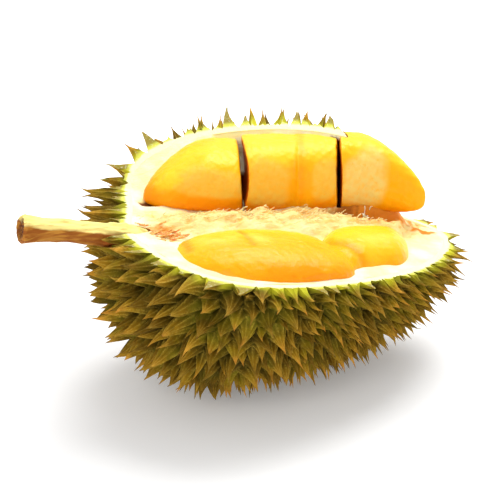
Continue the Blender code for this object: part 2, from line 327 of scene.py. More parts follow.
def flat_tube_faces(rings: int, segments: int) -> list[tuple[int, ...]]:
    """Faces of a tube of rings, closed by a flat face at each end.

    Args:
        rings: Number of rings.
        segments: Vertices in a ring.

    Returns:
        The faces.
    """
    count = rings * segments
    ends = [tuple(range(segments)), tuple(range(count - 1, count - segments - 1, -1))]
    return tube_faces(rings, segments) + ends


def full_turn(segments: int) -> Array:
    """Evenly spaced angles once round."""
    return np.linspace(0.0, 2 * math.pi, segments, endpoint=False)


def end_slant(points: Array, lean: float, upright: float) -> Array:
    """How far along X a slanted face has moved at these points."""
    across, height = SLANT_FROM
    return lean * (points[:, 1] - across) + upright * (points[:, 2] - height)


def outward(piece: Piece) -> Piece:
    """Turns the faces of a closed piece outward.

    Args:
        piece: The piece.

    Returns:
        The same piece.
    """
    work = bmesh.new()
    work.from_mesh(piece.data)
    bmesh.ops.recalc_face_normals(work, faces=work.faces)
    work.to_mesh(piece.data)
    work.free()
    return piece


# ---- node helpers


class NodeBench:
    """Lays the nodes of one tree and joins their sockets."""

    def __init__(self, tree: bpy.types.NodeTree) -> None:
        """Starts on an empty tree."""
        self.tree = tree
        self.tree.nodes.clear()

    def put(
        self, kind: str, inputs: Mapping[str | int, object] | None = None, **settings: object
    ) -> bpy.types.Node:
        """Adds a node.

        Args:
            kind: The node's type name.
            inputs: What each named or numbered input takes: a socket to join, or a value.
            **settings: The node's own properties.

        Returns:
            The new node.
        """
        node = self.tree.nodes.new(kind)
        for key, value in settings.items():
            setattr(node, key, value)
        for key, value in (inputs or {}).items():
            socket = node.inputs[key]
            if isinstance(value, Socket):
                self.tree.links.new(value, socket)
            else:
                socket.default_value = value
        return node

    def sum(self, operation: str, first: object, second: object = 0.0, clamp: bool = False) -> Socket:
        """A Math node."""
        node = self.put("ShaderNodeMath", {0: first, 1: second}, operation=operation, use_clamp=clamp)
        return node.outputs[0]

    def times(self, first: object, second: object) -> Socket:
        """The product of two sockets or numbers."""
        return self.sum("MULTIPLY", first, second)

    def vector(self, operation: str, first: object, second: object = (0, 0, 0)) -> Socket:
        """A Vector Math node on two vectors."""
        return self.put("ShaderNodeVectorMath", {0: first, 1: second}, operation=operation).outputs[0]

    def scaled(self, first: object, factor: object) -> Socket:
        """A vector times a number."""
        return self.put("ShaderNodeVectorMath", {0: first, "Scale": factor}, operation="SCALE").outputs[0]


class GroupBench(NodeBench):
    """A bench for a Geometry Nodes group with named inputs, which takes and gives geometry."""

    def __init__(self, name: str, kinds: Sequence[tuple[str, str]]) -> None:
        """Makes the group.

        Args:
            name: The group's name.
            kinds: Each input's name and kind, after the geometry.
        """
        self.group = bpy.data.node_groups.new(name, "GeometryNodeTree")
        super().__init__(self.group)
        self.inputs: dict[str, str] = {}
        face = self.group.interface
        face.new_socket("Geometry", in_out="INPUT", socket_type="NodeSocketGeometry")
        for key, kind in kinds:
            socket = face.new_socket(key, in_out="INPUT", socket_type="NodeSocket" + kind)
            self.inputs[key] = socket.identifier
        face.new_socket("Geometry", in_out="OUTPUT", socket_type="NodeSocketGeometry")

    def stored(self, name: str, kind: str = "FLOAT") -> Socket:
        """A value stored on the mesh."""
        node = self.put("GeometryNodeInputNamedAttribute", {0: name}, data_type=kind)
        return next(s for s in node.outputs if s.enabled and s.name == "Attribute")

    def shaken(self, scale: object, amount: object) -> Socket:
        """A small shift for each place, from noise."""
        noise = self.put("ShaderNodeTexNoise", {"Scale": scale, "Detail": 1.0})
        return self.scaled(self.vector("SUBTRACT", noise.outputs[1], (0.5, 0.5, 0.5)), amount)

    def close(self, geometry: Socket, material: Socket) -> None:
        """Gives the geometry its material and ends the group with it."""
        dressed = self.put("GeometryNodeSetMaterial", {"Geometry": geometry, "Material": material})
        self.put("NodeGroupOutput", {0: dressed.outputs[0]})

    def run(self, piece: Piece, values: Mapping[str, object]) -> None:
        """Runs the group on a piece and keeps the plain mesh that it makes.

        Args:
            piece: The piece.
            values: What each named input takes.
        """
        modifier = piece.modifiers.new(self.group.name, "NODES")
        modifier.node_group = self.group
        for key, value in values.items():
            modifier[self.inputs[key]] = value
        settle(piece)


class ShaderBench(NodeBench):
    """A bench for a material, with a Principled shader joined to its output."""

    def __init__(self, name: str, roughness: float, **sockets: object) -> None:
        """Makes the material.

        Args:
            name: The material's name.
            roughness: The shader's roughness where nothing else drives it.
            **sockets: Fixed shader inputs, with underscores for spaces.
        """
        self.material = bpy.data.materials.new(name)
        self.material.use_nodes = True
        super().__init__(self.material.node_tree)
        self.shader = self.put("ShaderNodeBsdfPrincipled", {"Roughness": roughness})
        for key, value in sockets.items():
            self.shader.inputs[key.replace("_", " ")].default_value = value
        self.place = self.put("ShaderNodeTexCoord").outputs["Object"]
        self.put("ShaderNodeOutputMaterial", {"Surface": self.shader.outputs[0]})

    def feed(self, socket: str, value: Socket) -> None:
        """Joins a result to one of the shader's inputs."""
        self.tree.links.new(value, self.shader.inputs[socket])

    def rough(self, value: Socket, low: float, high: float) -> None:
        """Drives the shader's roughness."""
        node = self.put("ShaderNodeMapRange", {"Value": value, "To Min": low, "To Max": high})
        self.feed("Roughness", node.outputs[0])

    def mask(self, name: str) -> Socket:
        """The number stored on the mesh under this name."""
        return self.put("ShaderNodeAttribute", attribute_name=name).outputs["Fac"]

    def noise(self, scale: float, detail: float = 3.0, stretch: Point = (1, 1, 1)) -> Socket:
        """Noise over the piece's own space.

        Args:
            scale: Features a metre.
            detail: Octaves.
            stretch: How much finer it is along each axis.

        Returns:
            A number around 0.5.
        """
        place = self.put("ShaderNodeMapping", {"Vector": self.place, "Scale": stretch}).outputs[0]
        made = self.put("ShaderNodeTexNoise", {"Vector": place, "Scale": scale, "Detail": detail})
        return made.outputs[0]

    def span(self, value: Socket, low: float, high: float) -> Socket:
        """Rises softly from 0 at low to 1 at high.

        Args:
            value: The number to map.
            low: Where the result is 0.
            high: Where the result is 1.

        Returns:
            The mapped number.
        """
        made = self.put(
            "ShaderNodeMapRange",
            {"Value": value, "From Min": low, "From Max": high},
            interpolation_type="SMOOTHSTEP",
        )
        return made.outputs[0]

    def shades(self, value: Socket, stops: Sequence[tuple[float, Colour]]) -> Socket:
        """A run of colours along a number.

        Args:
            value: The number, from 0 to 1.
            stops: Places and their colours, in order.

        Returns:
            The colour.
        """
        node = self.put("ShaderNodeValToRGB", {0: value})
        ramp = node.color_ramp
        ramp.elements[0].position = stops[0][0]
        ramp.elements[1].position = stops[-1][0]
        for place, _ in stops[1:-1]:
            ramp.elements.new(place)
        for element, (_, colour) in zip(ramp.elements, stops):
            element.color = (*colour, 1.0)
        return node.outputs[0]

    def over(self, below: object, above: object, share: object, mode: str = "MIX") -> Socket:
        """Lays one colour over another.

        Args:
            below: Socket or colour.
            above: Socket or colour.
            share: How much of the upper colour shows.
            mode: How they mix.

        Returns:
            The colour.
        """
        pair = [(*c, 1.0) if isinstance(c, tuple) else c for c in (below, above)]
        node = self.put(
            "ShaderNodeMix", {0: share, 6: pair[0], 7: pair[1]}, data_type="RGBA", blend_type=mode
        )
        return node.outputs[2]

    def relief(self, heights: Sequence[tuple[Socket, float]]) -> None:
        """Joins bumps of several heights, one over another, to the shader.

        Args:
            heights: Height signals, each with its depth in metres.
        """
        normal = None
        for height, depth in heights:
            inputs = {"Height": height, "Distance": depth, "Strength": 1.0}
            if normal is not None:
                inputs["Normal"] = normal
            normal = self.put("ShaderNodeBump", inputs).outputs[0]
        self.feed("Normal", normal)


# ---- form of the fruit


@dataclass(frozen=True)
class FruitAxes:
    """Where the fruit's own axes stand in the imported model's frame.

    centre is measured from the middle of the underside of the CAD model's box.
    """

    base: Point
    tilt: float = math.radians(10.0)
    centre: Point = (0.02360111, -0.00186133, 0.10159028)

    def matrix(self) -> Matrix:
        """The step from the fruit's own axes to the frame."""
        place = Vector(self.base) + Vector(self.centre)
        return Matrix.Translation(place) @ Matrix.Rotation(self.tilt, 4, "Y")

    def place(self, piece: Piece) -> Piece:
        """Carries a piece's mesh into the frame, and leaves its object at the origin.

        Args:
            piece: A piece laid out in the fruit's own axes.

        Returns:
            The same piece.
        """
        piece.data.transform(self.matrix())
        piece.data.update()
        return piece

    def down(self) -> Vector:
        """The frame's downward direction, in the fruit's own axes."""
        return self.matrix().to_3x3().inverted() @ Vector((0.0, 0.0, -1.0))


@dataclass(frozen=True)
class BodyForm:
    """The smooth body under the spines: an egg, fuller at the stem end."""

    half_length: float = 0.1220
    girth_radius: float = 0.0885
    taper: float = 0.29
    taper_curve: float = 0.24
    stem_end_bluntness: float = 4.6
    tip_end_bluntness: float = 3.8
    shoulder: float = 0.0135
    shoulder_along: tuple[float, float] = (0.080, 0.112)
    shoulder_across: tuple[float, float] = (-0.020, 0.038)
    shoulder_height: tuple[float, float] = (-0.032, -0.004)
    inset: float = 0.0

    def drawn_in(self, points: Array) -> Array:
        """How far the shoulder behind the stem is set back along X at these points.

        Args:
            points: Points, one a row.

        Returns:
            The distances.
        """
        back = smooth_step(points[:, 1], *self.shoulder_across)
        near_end = smooth_step(-points[:, 0], *self.shoulder_along)
        return self.shoulder * back * near_end * smooth_step(points[:, 2], *self.shoulder_height)

    def set_back(self, points: Array) -> Array:
        """Points of the round form, with the shoulder behind the stem set back.

        Args:
            points: Points of the round form, one a row.

        Returns:
            The moved points.
        """
        moved = points.copy()
        moved[:, 0] += self.drawn_in(points)
        return moved

    def length(self) -> float:
        """Half the body's length, less the inset."""
        return self.half_length - self.inset

    def radius(self, x: Array) -> Array:
        """The body's radius at these places along its axis.

        Args:
            x: Places along the axis.

        Returns:
            The radii.
        """
        u = np.clip(np.asarray(x, float) / self.length(), -1.0, 1.0)
        fullness = 1.0 - self.taper * u - self.taper_curve * u * u
        bluntness = np.where(u < 0, self.stem_end_bluntness, self.tip_end_bluntness)
        blunt = np.sqrt(np.maximum(1.0 - np.abs(u) ** bluntness, 0.0))
        return np.maximum(self.girth_radius * blunt * fullness - self.inset * blunt, 0.0)

    def reach(self, directions: Array) -> Array:
        """Distance from the centre to the body's surface in these unit directions.

        Args:
            directions: Unit directions, one a row.

        Returns:
            The distances.
        """
        x = -self.length() * np.cos(np.linspace(0.0, math.pi, 1201))
        radius = self.radius(x)
        angle = np.arctan2(radius, x)
        order = np.argsort(angle)
        wanted = np.arccos(np.clip(directions[:, 0], -1.0, 1.0))
        return np.interp(wanted, angle[order], np.hypot(x, radius)[order])

    def points(self, directions: Array) -> Array:
        """The surface points in these unit directions of the round form."""
        return self.set_back(directions * self.reach(directions)[:, None])

    def rise(self, points: Array) -> Array:
        """How far points stand outside the surface, along their own direction.

        Args:
            points: Points, one a row.

        Returns:
            The distances, below zero inside.
        """
        plain = points.copy()
        for _ in range(3):
            plain[:, 0] = points[:, 0] - self.drawn_in(plain)
        return np.linalg.norm(plain, axis=1) - self.reach(unit(plain))

    def normals(self, directions: Array, step: float = 0.02) -> Array:
        """Outward normals in these directions, from a small triangle laid on the surface.

        Args:
            directions: Unit directions, one a row.
            step: How far the triangle's corners lie from each direction, at unit distance.

        Returns:
            The unit normals.
        """
        guide = np.where(np.abs(directions[:, :1]) > 0.9, [[0.0, 1.0, 0.0]], [[1.0, 0.0, 0.0]])
        side = unit(np.cross(directions, guide))
        up = np.cross(directions, side)
        corners = [
            self.points(unit(directions + step * (math.cos(a) * side + math.sin(a) * up)))
            for a in (0.0, THIRD_OF_TURN, 2 * THIRD_OF_TURN)
        ]
        normal = unit(np.cross(corners[1] - corners[0], corners[2] - corners[0]))
        return normal * np.sign((normal * directions).sum(axis=1, keepdims=True))

    def solid(self, name: str, rings: int = 60, segments: int = 120) -> Piece:
        """The body as a closed turned mesh about X.

        Args:
            name: The object's name.
            rings: Rings between the two poles.
            segments: Vertices in a ring.

        Returns:
            The object.
        """
        x = -self.length() * np.cos(np.linspace(0.0, math.pi, rings + 2))
        radius = self.radius(x)
        turn = full_turn(segments)
        points = [(x[0], 0.0, 0.0)]
        for along, wide in zip(x[1:-1], radius[1:-1]):
            points += [(along, wide * math.cos(a), wide * math.sin(a)) for a in turn]
        points.append((x[-1], 0.0, 0.0))
        faces = pointed_tube_faces(rings, segments)
        return outward(mesh_object(name, self.set_back(np.array(points)), faces))


@dataclass(frozen=True)
class CutPlane:
    """A flat cut: a point on it and the normal of the side that is taken away."""

    point: Point
    normal: Point

    def beyond(self, points: Array) -> Array:
        """How far points lie on the side that is taken away."""
        return (points - np.array(self.point)) @ unit(np.array(self.normal))

    def moved(self, distance: float) -> "CutPlane":
        """The same cut, moved this far toward the side that is taken away."""
        point = np.array(self.point) + distance * unit(np.array(self.normal))
        return CutPlane(tuple(map(float, point)), self.normal)

    def height(self, x: Array, y: Array) -> Array:
        """The plane's height over these places."""
        (px, py, pz), (nx, ny, nz) = self.point, self.normal
        return pz - (nx * (x - px) + ny * (y - py)) / nz


def block(name: str, planes: Sequence[CutPlane], size: float = 0.6) -> Piece:
    """A large block that keeps only what lies beyond every plane.

    Args:
        name: The object's name.
        planes: The planes that bound it.
        size: Its side before it is cut.

    Returns:
        The object.
    """
    work = bmesh.new()
    bmesh.ops.create_cube(work, size=size)
    for plane in planes:
        everything = work.verts[:] + work.edges[:] + work.faces[:]
        bmesh.ops.bisect_plane(
            work, geom=everything, plane_co=plane.point, plane_no=plane.normal, clear_inner=True
        )
        corners = [vertex.co.copy() for vertex in work.verts]
        work.clear()
        for corner in corners:
            work.verts.new(corner)
        bmesh.ops.convex_hull(work, input=work.verts)
    bmesh.ops.recalc_face_normals(work, faces=work.faces)
    mesh = bpy.data.meshes.new(name)
    work.to_mesh(mesh)
    work.free()
    return linked(name, mesh)


@dataclass(frozen=True)
class Opening:
    """The cuts that open the fruit and clear the room for the pods."""

    front: CutPlane = CutPlane((0.0, 0.0, 0.0), (0.0, -0.071, 1.0))
    front_side: CutPlane = CutPlane((0.0, 0.004, 0.0), (0.0, -1.0, 0.0))
    rear: CutPlane = CutPlane((0.0, 0.0, 0.0), (-0.568, -0.798, 1.0))
    end: CutPlane = CutPlane((0.050, 0.040, 0.060), (0.70, -0.17, 0.69))
    core: CutPlane = CutPlane((0.0, 0.0, 0.0055), (0.0, 0.0, 1.0))
    pod_face: CutPlane = CutPlane((0.0, 0.0275, 0.0), (-0.120, -1.0, 0.0))
    bed: CutPlane = CutPlane((0.0, 0.0, -0.014), (-0.568, -0.798, 1.0))
    bed_start: float = -0.030
    bed_inset: float = 0.0065

    def husk_blocks(self) -> list[Piece]:
        """The blocks that take the husk off.

        Returns:
            The blocks.
        """
        return [
            block("cut_front", [self.front, self.front_side]),
            block("cut_top", [self.front, self.rear]),
            block("cut_end", [self.front, self.end]),
        ]

    def edge_distance(self, points: Array) -> Array:
        """How far points of the husk lie from the nearest cut, along the cuts' normals.

        Args:
            points: Points, one a row.

        Returns:
            The distances.
        """
        level = -self.front.beyond(points)
        side = -self.front_side.beyond(points)
        rear = -self.rear.beyond(points)
        end = -self.end.beyond(points)
        past_corner = np.hypot(np.maximum(level, 0), np.maximum(side, 0))
        over_front = np.where(points[:, 1] < self.front_side.point[1], level, past_corner)
        over_rear = np.maximum(level, rear)
        over_end = np.maximum(level, end)
        return np.minimum(np.minimum(over_front, over_rear), over_end)

    def height(self, x: Array, y: Array, body: BodyForm) -> Array:
        """Height of the cut tissue's upper face over these places.

        Args:
            x: Places along the fruit.
            y: Places across it.
            body: The fruit's body.

        Returns:
            The heights.
        """
        front = self.front.height(x, y)
        rear = self.rear.height(x, y)
        end = self.end.height(x, y)
        top = np.where(y < self.front_side.point[1], front, np.maximum(front, np.minimum(rear, end)))
        middle = y < self.pod_face.point[1] + self.pod_face.normal[0] * x
        top = np.where(middle, np.minimum(top, np.maximum(self.core.point[2], front)), top)
        lined = BodyForm(inset=self.bed_inset)
        radius = np.where(np.abs(x) < lined.length(), lined.radius(x), 0.0)
        lip = np.sqrt(np.maximum(radius**2 - y**2, 0.0))
        floor = np.maximum(front, self.bed.height(x, y))
        return np.where((x > self.bed_start) & (top < lip), np.minimum(top, floor), top)


# ---- finishes


@dataclass(frozen=True)
class HuskFinish:
    """Olive rind with brown spine tips and yellow-green bases along the cuts, with painted shade in the
    valleys between spines and painted highlights along the spine ridges.
    """

    valley: Colour = (0.045, 0.035, 0.002)
    side: Colour = (0.225, 0.122, 0.004)
    upper: Colour = (0.430, 0.215, 0.018)
    tip: Colour = (0.150, 0.055, 0.010)
    ridge: Colour = (0.560, 0.390, 0.060)
    blush: Colour = (0.480, 0.170, 0.022)
    green: Colour = (0.230, 0.230, 0.010)
    edge: Colour = (0.560, 0.540, 0.025)
    grain_scale: float = 900.0
    grain_depth: float = 0.00035

    def make(self) -> bpy.types.Material:
        """Builds the material.

        Returns:
            The material.
        """
        bench = ShaderBench("spiny_rind", 0.62, Specular_IOR_Level=0.07)
        lift = bench.mask("lift")
        tone = bench.mask("tone")
        cloud = bench.noise(130.0, 3.0)
        grain = bench.noise(self.grain_scale, 3.0)
        # painted shade: nearly black in the valleys between spines, growing lighter up each spine toward its
        # brown tip
        stops = [(0.0, self.valley), (0.34, self.side), (0.78, self.upper), (0.93, self.tip), (1.0, self.tip)]
        shade = bench.shades(lift, stops)
        # painted highlight: pale tan laid along the spine ridges
        ridge = bench.times(bench.mask("ridge"), bench.span(grain, 0.25, 0.7))
        shade = bench.over(shade, self.ridge, bench.times(ridge, 0.60))
        warm = bench.times(bench.span(tone, 0.45, 1.0), bench.span(lift, 0.45, 0.85))
        shade = bench.over(shade, self.blush, bench.times(warm, 0.55))
        fresh = bench.times(bench.span(bench.noise(38.0, 2.0), 0.48, 0.62), bench.span(lift, 0.95, 0.30))
        shade = bench.over(shade, self.green, bench.times(fresh, 0.28))
        dark = bench.times(bench.span(cloud, 0.45, 0.75), 0.55)
        shade = bench.over(shade, self.valley, dark)
        shade = bench.over(shade, self.edge, bench.times(bench.mask("rim"), 0.92))
        bright = bench.sum("MULTIPLY_ADD", tone, 1.0)
        bright.node.inputs[2].default_value = 0.50
        grey = bench.put("ShaderNodeCombineColor", {0: bright, 1: bright, 2: bright}).outputs[0]
        shade = bench.over(shade, grey, 1.0, "MULTIPLY")
        bench.feed("Base Color", shade)
        bench.rough(grain, 0.50, 0.78)
        streak = bench.noise(420.0, 2.0)
        bench.relief([(grain, self.grain_depth), (streak, 0.0005)])
        return bench.material


@dataclass(frozen=True)
class CutRindFinish:
    """The rind where the knife went through: cream inside, yellow-green toward the outside."""

    inner: Colour = (0.980, 0.930, 0.540)
    outer: Colour = (0.620, 0.640, 0.070)
    skin: Colour = (0.300, 0.235, 0.030)

    def make(self) -> bpy.types.Material:
        """Builds the material.

        Returns:
            The material.
        """
        bench = ShaderBench(
            "cut_rind", 0.5, Subsurface_Weight=0.15, Subsurface_Scale=0.003, Specular_IOR_Level=0.2
        )
        depth = bench.mask("rise_mm")
        fleck = bench.noise(700.0, 3.0)
        shade = bench.over(self.inner, self.outer, bench.span(depth, -1.2, 1.2))
        shade = bench.over(shade, self.skin, bench.span(depth, 1.5, 5.0))
        shade = bench.over(shade, (1.0, 0.97, 0.78), bench.times(bench.span(fleck, 0.55, 0.7), 0.3))
        bench.feed("Base Color", shade)
        bench.rough(fleck, 0.40, 0.62)
        bench.relief([(fleck, 0.0003)])
        return bench.material


@dataclass(frozen=True)
class PithFinish:
    """Cream tissue, fibrous along the core, orange-stained where pods pulled away, with painted shade:
    tan-orange in the hollows, orange-brown under the far rear pod, and dark red-brown in the cracks and under
    the rear pods.
    """

    cream: Colour = (0.940, 0.860, 0.420)
    pale: Colour = (0.980, 0.930, 0.640)
    torn: Colour = (0.900, 0.680, 0.270)
    tan_orange: Colour = (0.800, 0.430, 0.080)
    stain_and_shade: Colour = (0.780, 0.250, 0.006)
    painted_shade: Colour = (0.150, 0.026, 0.001)

    def make(self) -> bpy.types.Material:
        """Builds the material.

        Returns:
            The material.
        """
        bench = ShaderBench(
            "cream_pith", 0.55, Subsurface_Weight=0.25, Subsurface_Scale=0.004, Specular_IOR_Level=0.15
        )
        bench.shader.inputs["Subsurface Radius"].default_value = (1.0, 0.65, 0.25)
        core = bench.mask("core")
        fibre = bench.noise(260.0, 5.0, (0.35, 1.0, 1.0))
        cloud = bench.noise(60.0, 3.0)
        shade = bench.over(self.cream, self.pale, bench.span(cloud, 0.35, 0.65))
        shade = bench.over(shade, self.torn, core)
        tan_orange = bench.times(core, bench.span(fibre, 0.46, 0.66))
        shade = bench.over(shade, self.tan_orange, bench.times(tan_orange, 0.80))
        # painted shade: tan-orange in the hollows dented into the pith
        shade = bench.over(shade, self.tan_orange, bench.times(bench.mask("pit"), 0.7))
        # orange-stained tissue, and painted orange-brown shade in the hollow under the far rear pod
        shade = bench.over(shade, self.stain_and_shade, bench.mask("stain_and_shade"))
        # painted shade: dark red-brown in the cracks between pods and in the gaps under the rear pods
        shade = bench.over(shade, self.painted_shade, bench.mask("painted_shade"))
        bench.feed("Base Color", shade)
        bench.rough(fibre, 0.38, 0.68)
        fine = bench.noise(1300.0, 3.0, (0.3, 1.0, 1.0))
        bench.relief([(fibre, 0.0012), (fine, 0.0004)])
        return bench.material


@dataclass(frozen=True)
class FleshFinish:
    """Soft yellow flesh under a smooth skin, with dull pale patches, painted light on top, painted orange
    shade low down and in the creases, painted highlights, and painted dark shade in the cracks.
    """

    name: str
    top: Colour = (0.950, 0.600, 0.024)
    face: Colour = (0.940, 0.430, 0.003)
    deep_shade: Colour = (0.910, 0.285, 0.001)
    patch: Colour = (0.860, 0.520, 0.060)
    crevice_shade: Colour = (0.480, 0.085, 0.002)
    painted_highlight: Colour = (0.960, 0.700, 0.110)

    def make(self) -> bpy.types.Material:
        """Builds the material.

        Returns:
            The material.
        """
        bench = ShaderBench(
            self.name,
            0.38,
            Subsurface_Weight=0.25,
            Subsurface_Scale=0.005,
            Coat_Weight=0.05,
            Coat_Roughness=0.20,
            Specular_IOR_Level=0.15,
        )
        bench.shader.inputs["Subsurface Radius"].default_value = (1.0, 0.45, 0.08)
        cloud = bench.noise(55.0, 3.0)
        mottle = bench.noise(320.0, 4.0)
        # painted light and shade: yellower where lit from above, orange shade low down and in the creases
        shade = bench.over(self.face, self.top, bench.mask("upper"))
        shade = bench.over(shade, self.deep_shade, bench.mask("deep_shade"))
        shade = bench.over(shade, self.face, bench.times(bench.span(cloud, 0.5, 0.75), 0.35))
        film = bench.times(bench.mask("patch"), bench.span(mottle, 0.05, 0.50))
        shade = bench.over(shade, self.patch, film)
        # painted highlight: a pale yellow gleam on the flesh
        shade = bench.over(shade, self.painted_highlight, bench.times(bench.mask("painted_highlight"), bench.span(cloud, 0.30, 0.60)))
        # painted shade: dark red-brown on the pods' end faces inside the cracks
        shade = bench.over(shade, self.crevice_shade, bench.mask("crevice_shade"))
        bench.feed("Base Color", shade)
        bench.rough(film, 0.30, 0.62)
        bench.relief([(mottle, 0.0005), (cloud, 0.0020)])
        return bench.material


@dataclass(frozen=True)
class BarkFinish:
    """The stalk: brown bark with a pale painted highlight along its top, dark and fibrous at the cut end."""

    pale: Colour = (0.950, 0.780, 0.260)
    bark: Colour = (0.300, 0.088, 0.010)
    ochre: Colour = (0.500, 0.215, 0.030)
    cut: Colour = (0.110, 0.030, 0.014)
    lump: Colour = (0.360, 0.070, 0.010)

    def make(self) -> bpy.types.Material:
        """Builds the material.

        Returns:
            The material.
        """
        bench = ShaderBench("stalk_bark", 0.7, Specular_IOR_Level=0.15)
        fibre = bench.noise(420.0, 4.0, (0.12, 1.0, 1.0))
        cloud = bench.noise(150.0, 3.0, (0.5, 1.0, 1.0))
        shade = bench.over(self.bark, self.ochre, bench.span(fibre, 0.40, 0.66))
        # painted highlight: pale cream, streaked by fibres, along the stalk's top
        pale = bench.over(self.pale, self.ochre, bench.times(bench.span(fibre, 0.5, 0.75), 0.5))
        upper = bench.sum("ADD", bench.mask("upper"), bench.times(bench.sum("SUBTRACT", cloud, 0.5), 0.28))
        shade = bench.over(shade, pale, bench.span(upper, 0.64, 0.76))
        end = bench.over(self.cut, self.ochre, bench.span(bench.noise(650.0, 3.0), 0.5, 0.7))
        shade = bench.over(shade, end, bench.mask("cut_end"))
        shade = bench.over(shade, self.lump, bench.mask("lump"))
        bench.feed("Base Color", shade)
        bench.rough(fibre, 0.55, 0.85)
        bench.relief([(fibre, 0.0010), (cloud, 0.0006)])
        return bench.material


@dataclass(frozen=True)
class StrandFinish:
    """Torn strands: one colour family with streaks along them."""

    name: str
    light: Colour
    dark: Colour

    def make(self) -> bpy.types.Material:
        """Builds the material.

        Returns:
            The material.
        """
        bench = ShaderBench(self.name, 0.55, Subsurface_Weight=0.2, Subsurface_Scale=0.002)
        streak = bench.noise(380.0, 3.0)
        bench.feed("Base Color", bench.over(self.light, self.dark, bench.span(streak, 0.42, 0.68)))
        bench.rough(streak, 0.42, 0.68)
        bench.relief([(streak, 0.0004)])
        return bench.material


@dataclass(frozen=True)
class FloorFinish:
    """White paper with a painted glow, faint near the fruit and stronger farther out, so that shadows on it
    stay pale.
    """

    shade: Colour = (0.86, 0.86, 0.86)
    glow: float = 0.22
    far_glow: float = 0.75

    def make(self) -> bpy.types.Material:
        """Builds the material.

        Returns:
            The material.
        """
        bench = ShaderBench("white_paper", 0.9, Specular_IOR_Level=0.0)
        cloud = bench.noise(3.0, 2.0)
        shade = bench.over(self.shade, (0.88, 0.88, 0.88), cloud)
        bench.feed("Base Color", shade)
        bench.feed("Emission Color", shade)
        away = bench.put("ShaderNodeVectorMath", {0: bench.place}, operation="LENGTH").outputs["Value"]
        far = bench.put(
            "ShaderNodeMapRange",
            {"Value": away, "From Min": 0.18, "From Max": 0.75, "To Min": self.glow, "To Max": self.far_glow},
            interpolation_type="SMOOTHSTEP",
        )
        bench.feed("Emission Strength", far.outputs[0])
        return bench.material


# ---- husk


class SpineFieldTree(GroupBench):
    """The rule that turns plain pyramids into spines: a wide foot, hollow faces and a slight bend."""

    def __init__(self) -> None:
        """Builds the group with named inputs for its sizes."""
        sizes = [(name, "Float") for name in ("Flare", "Hollow", "Grain", "Grain Scale")]
        super().__init__("spine_field", [("Detail", "Int"), *sizes, ("Skin", "Material")])
        self.lay()

    def at_corner(self, field_socket: Socket) -> Socket:
        """The field worked out in face corners before it is averaged."""
        node = self.put("GeometryNodeFieldOnDomain", {0: field_socket}, data_type="FLOAT", domain="CORNER")
        return node.outputs[0]

    def lay(self) -> None:
        """Lays the nodes."""
        given = self.put("NodeGroupInput").outputs
        fine = self.put("GeometryNodeSubdivideMesh", {"Mesh": given["Geometry"], "Level": given["Detail"]})
        rise = self.stored("lift")
        foot = self.stored("foot", "FLOAT_VECTOR")
        tip = self.stored("tip", "FLOAT_VECTOR")
        place = self.put("GeometryNodeInputPosition").outputs[0]
        axis = self.vector("ADD", foot, self.scaled(self.vector("SUBTRACT", tip, foot), rise))
        radial = self.vector("SUBTRACT", place, axis)
        left, right = self.stored("left"), self.stored("right")
        both = self.times(left, right)
        spread = self.sum("MAXIMUM", self.sum("ADD", left, right), 0.02)
        middle = self.sum("DIVIDE", both, self.times(spread, spread))
        ridge = self.at_corner(self.sum("SUBTRACT", 1.0, self.times(middle, 4.0), True))
        bay = self.times(self.at_corner(both), self.times(rise, 27.0))
        remaining = self.sum("MAXIMUM", self.sum("SUBTRACT", 1.0, rise), 0.0)
        narrow = self.sum("POWER", remaining, given["Flare"])
        narrow = self.times(narrow, self.sum("SUBTRACT", 1.0, self.times(bay, given["Hollow"])))
        bend = self.scaled(self.stored("sway", "FLOAT_VECTOR"), self.times(rise, remaining))
        shake = self.shaken(given["Grain Scale"], given["Grain"])
        shake = self.scaled(shake, self.times(remaining, self.sum("MINIMUM", self.times(rise, 5.0), 1.0)))
        drawn = self.vector("ADD", axis, self.scaled(radial, narrow))
        moved = self.vector("ADD", drawn, self.vector("ADD", bend, shake))
        shaped = self.put("GeometryNodeSetPosition", {"Geometry": fine.outputs[0], "Position": moved})
        # closeness to each spine's ridge line, where the finish paints a highlight
        kept = self.put(
            "GeometryNodeStoreNamedAttribute",
            {"Geometry": shaped.outputs[0], "Name": "ridge", "Value": ridge},
            data_type="FLOAT",
            domain="POINT",
        )
        smooth = self.put("GeometryNodeSetShadeSmooth", {"Geometry": kept.outputs[0], "Shade Smooth": True})
        real = self.put("GeometryNodeRealizeInstances", {"Geometry": smooth.outputs[0]})
        self.close(real.outputs[0], given["Skin"])


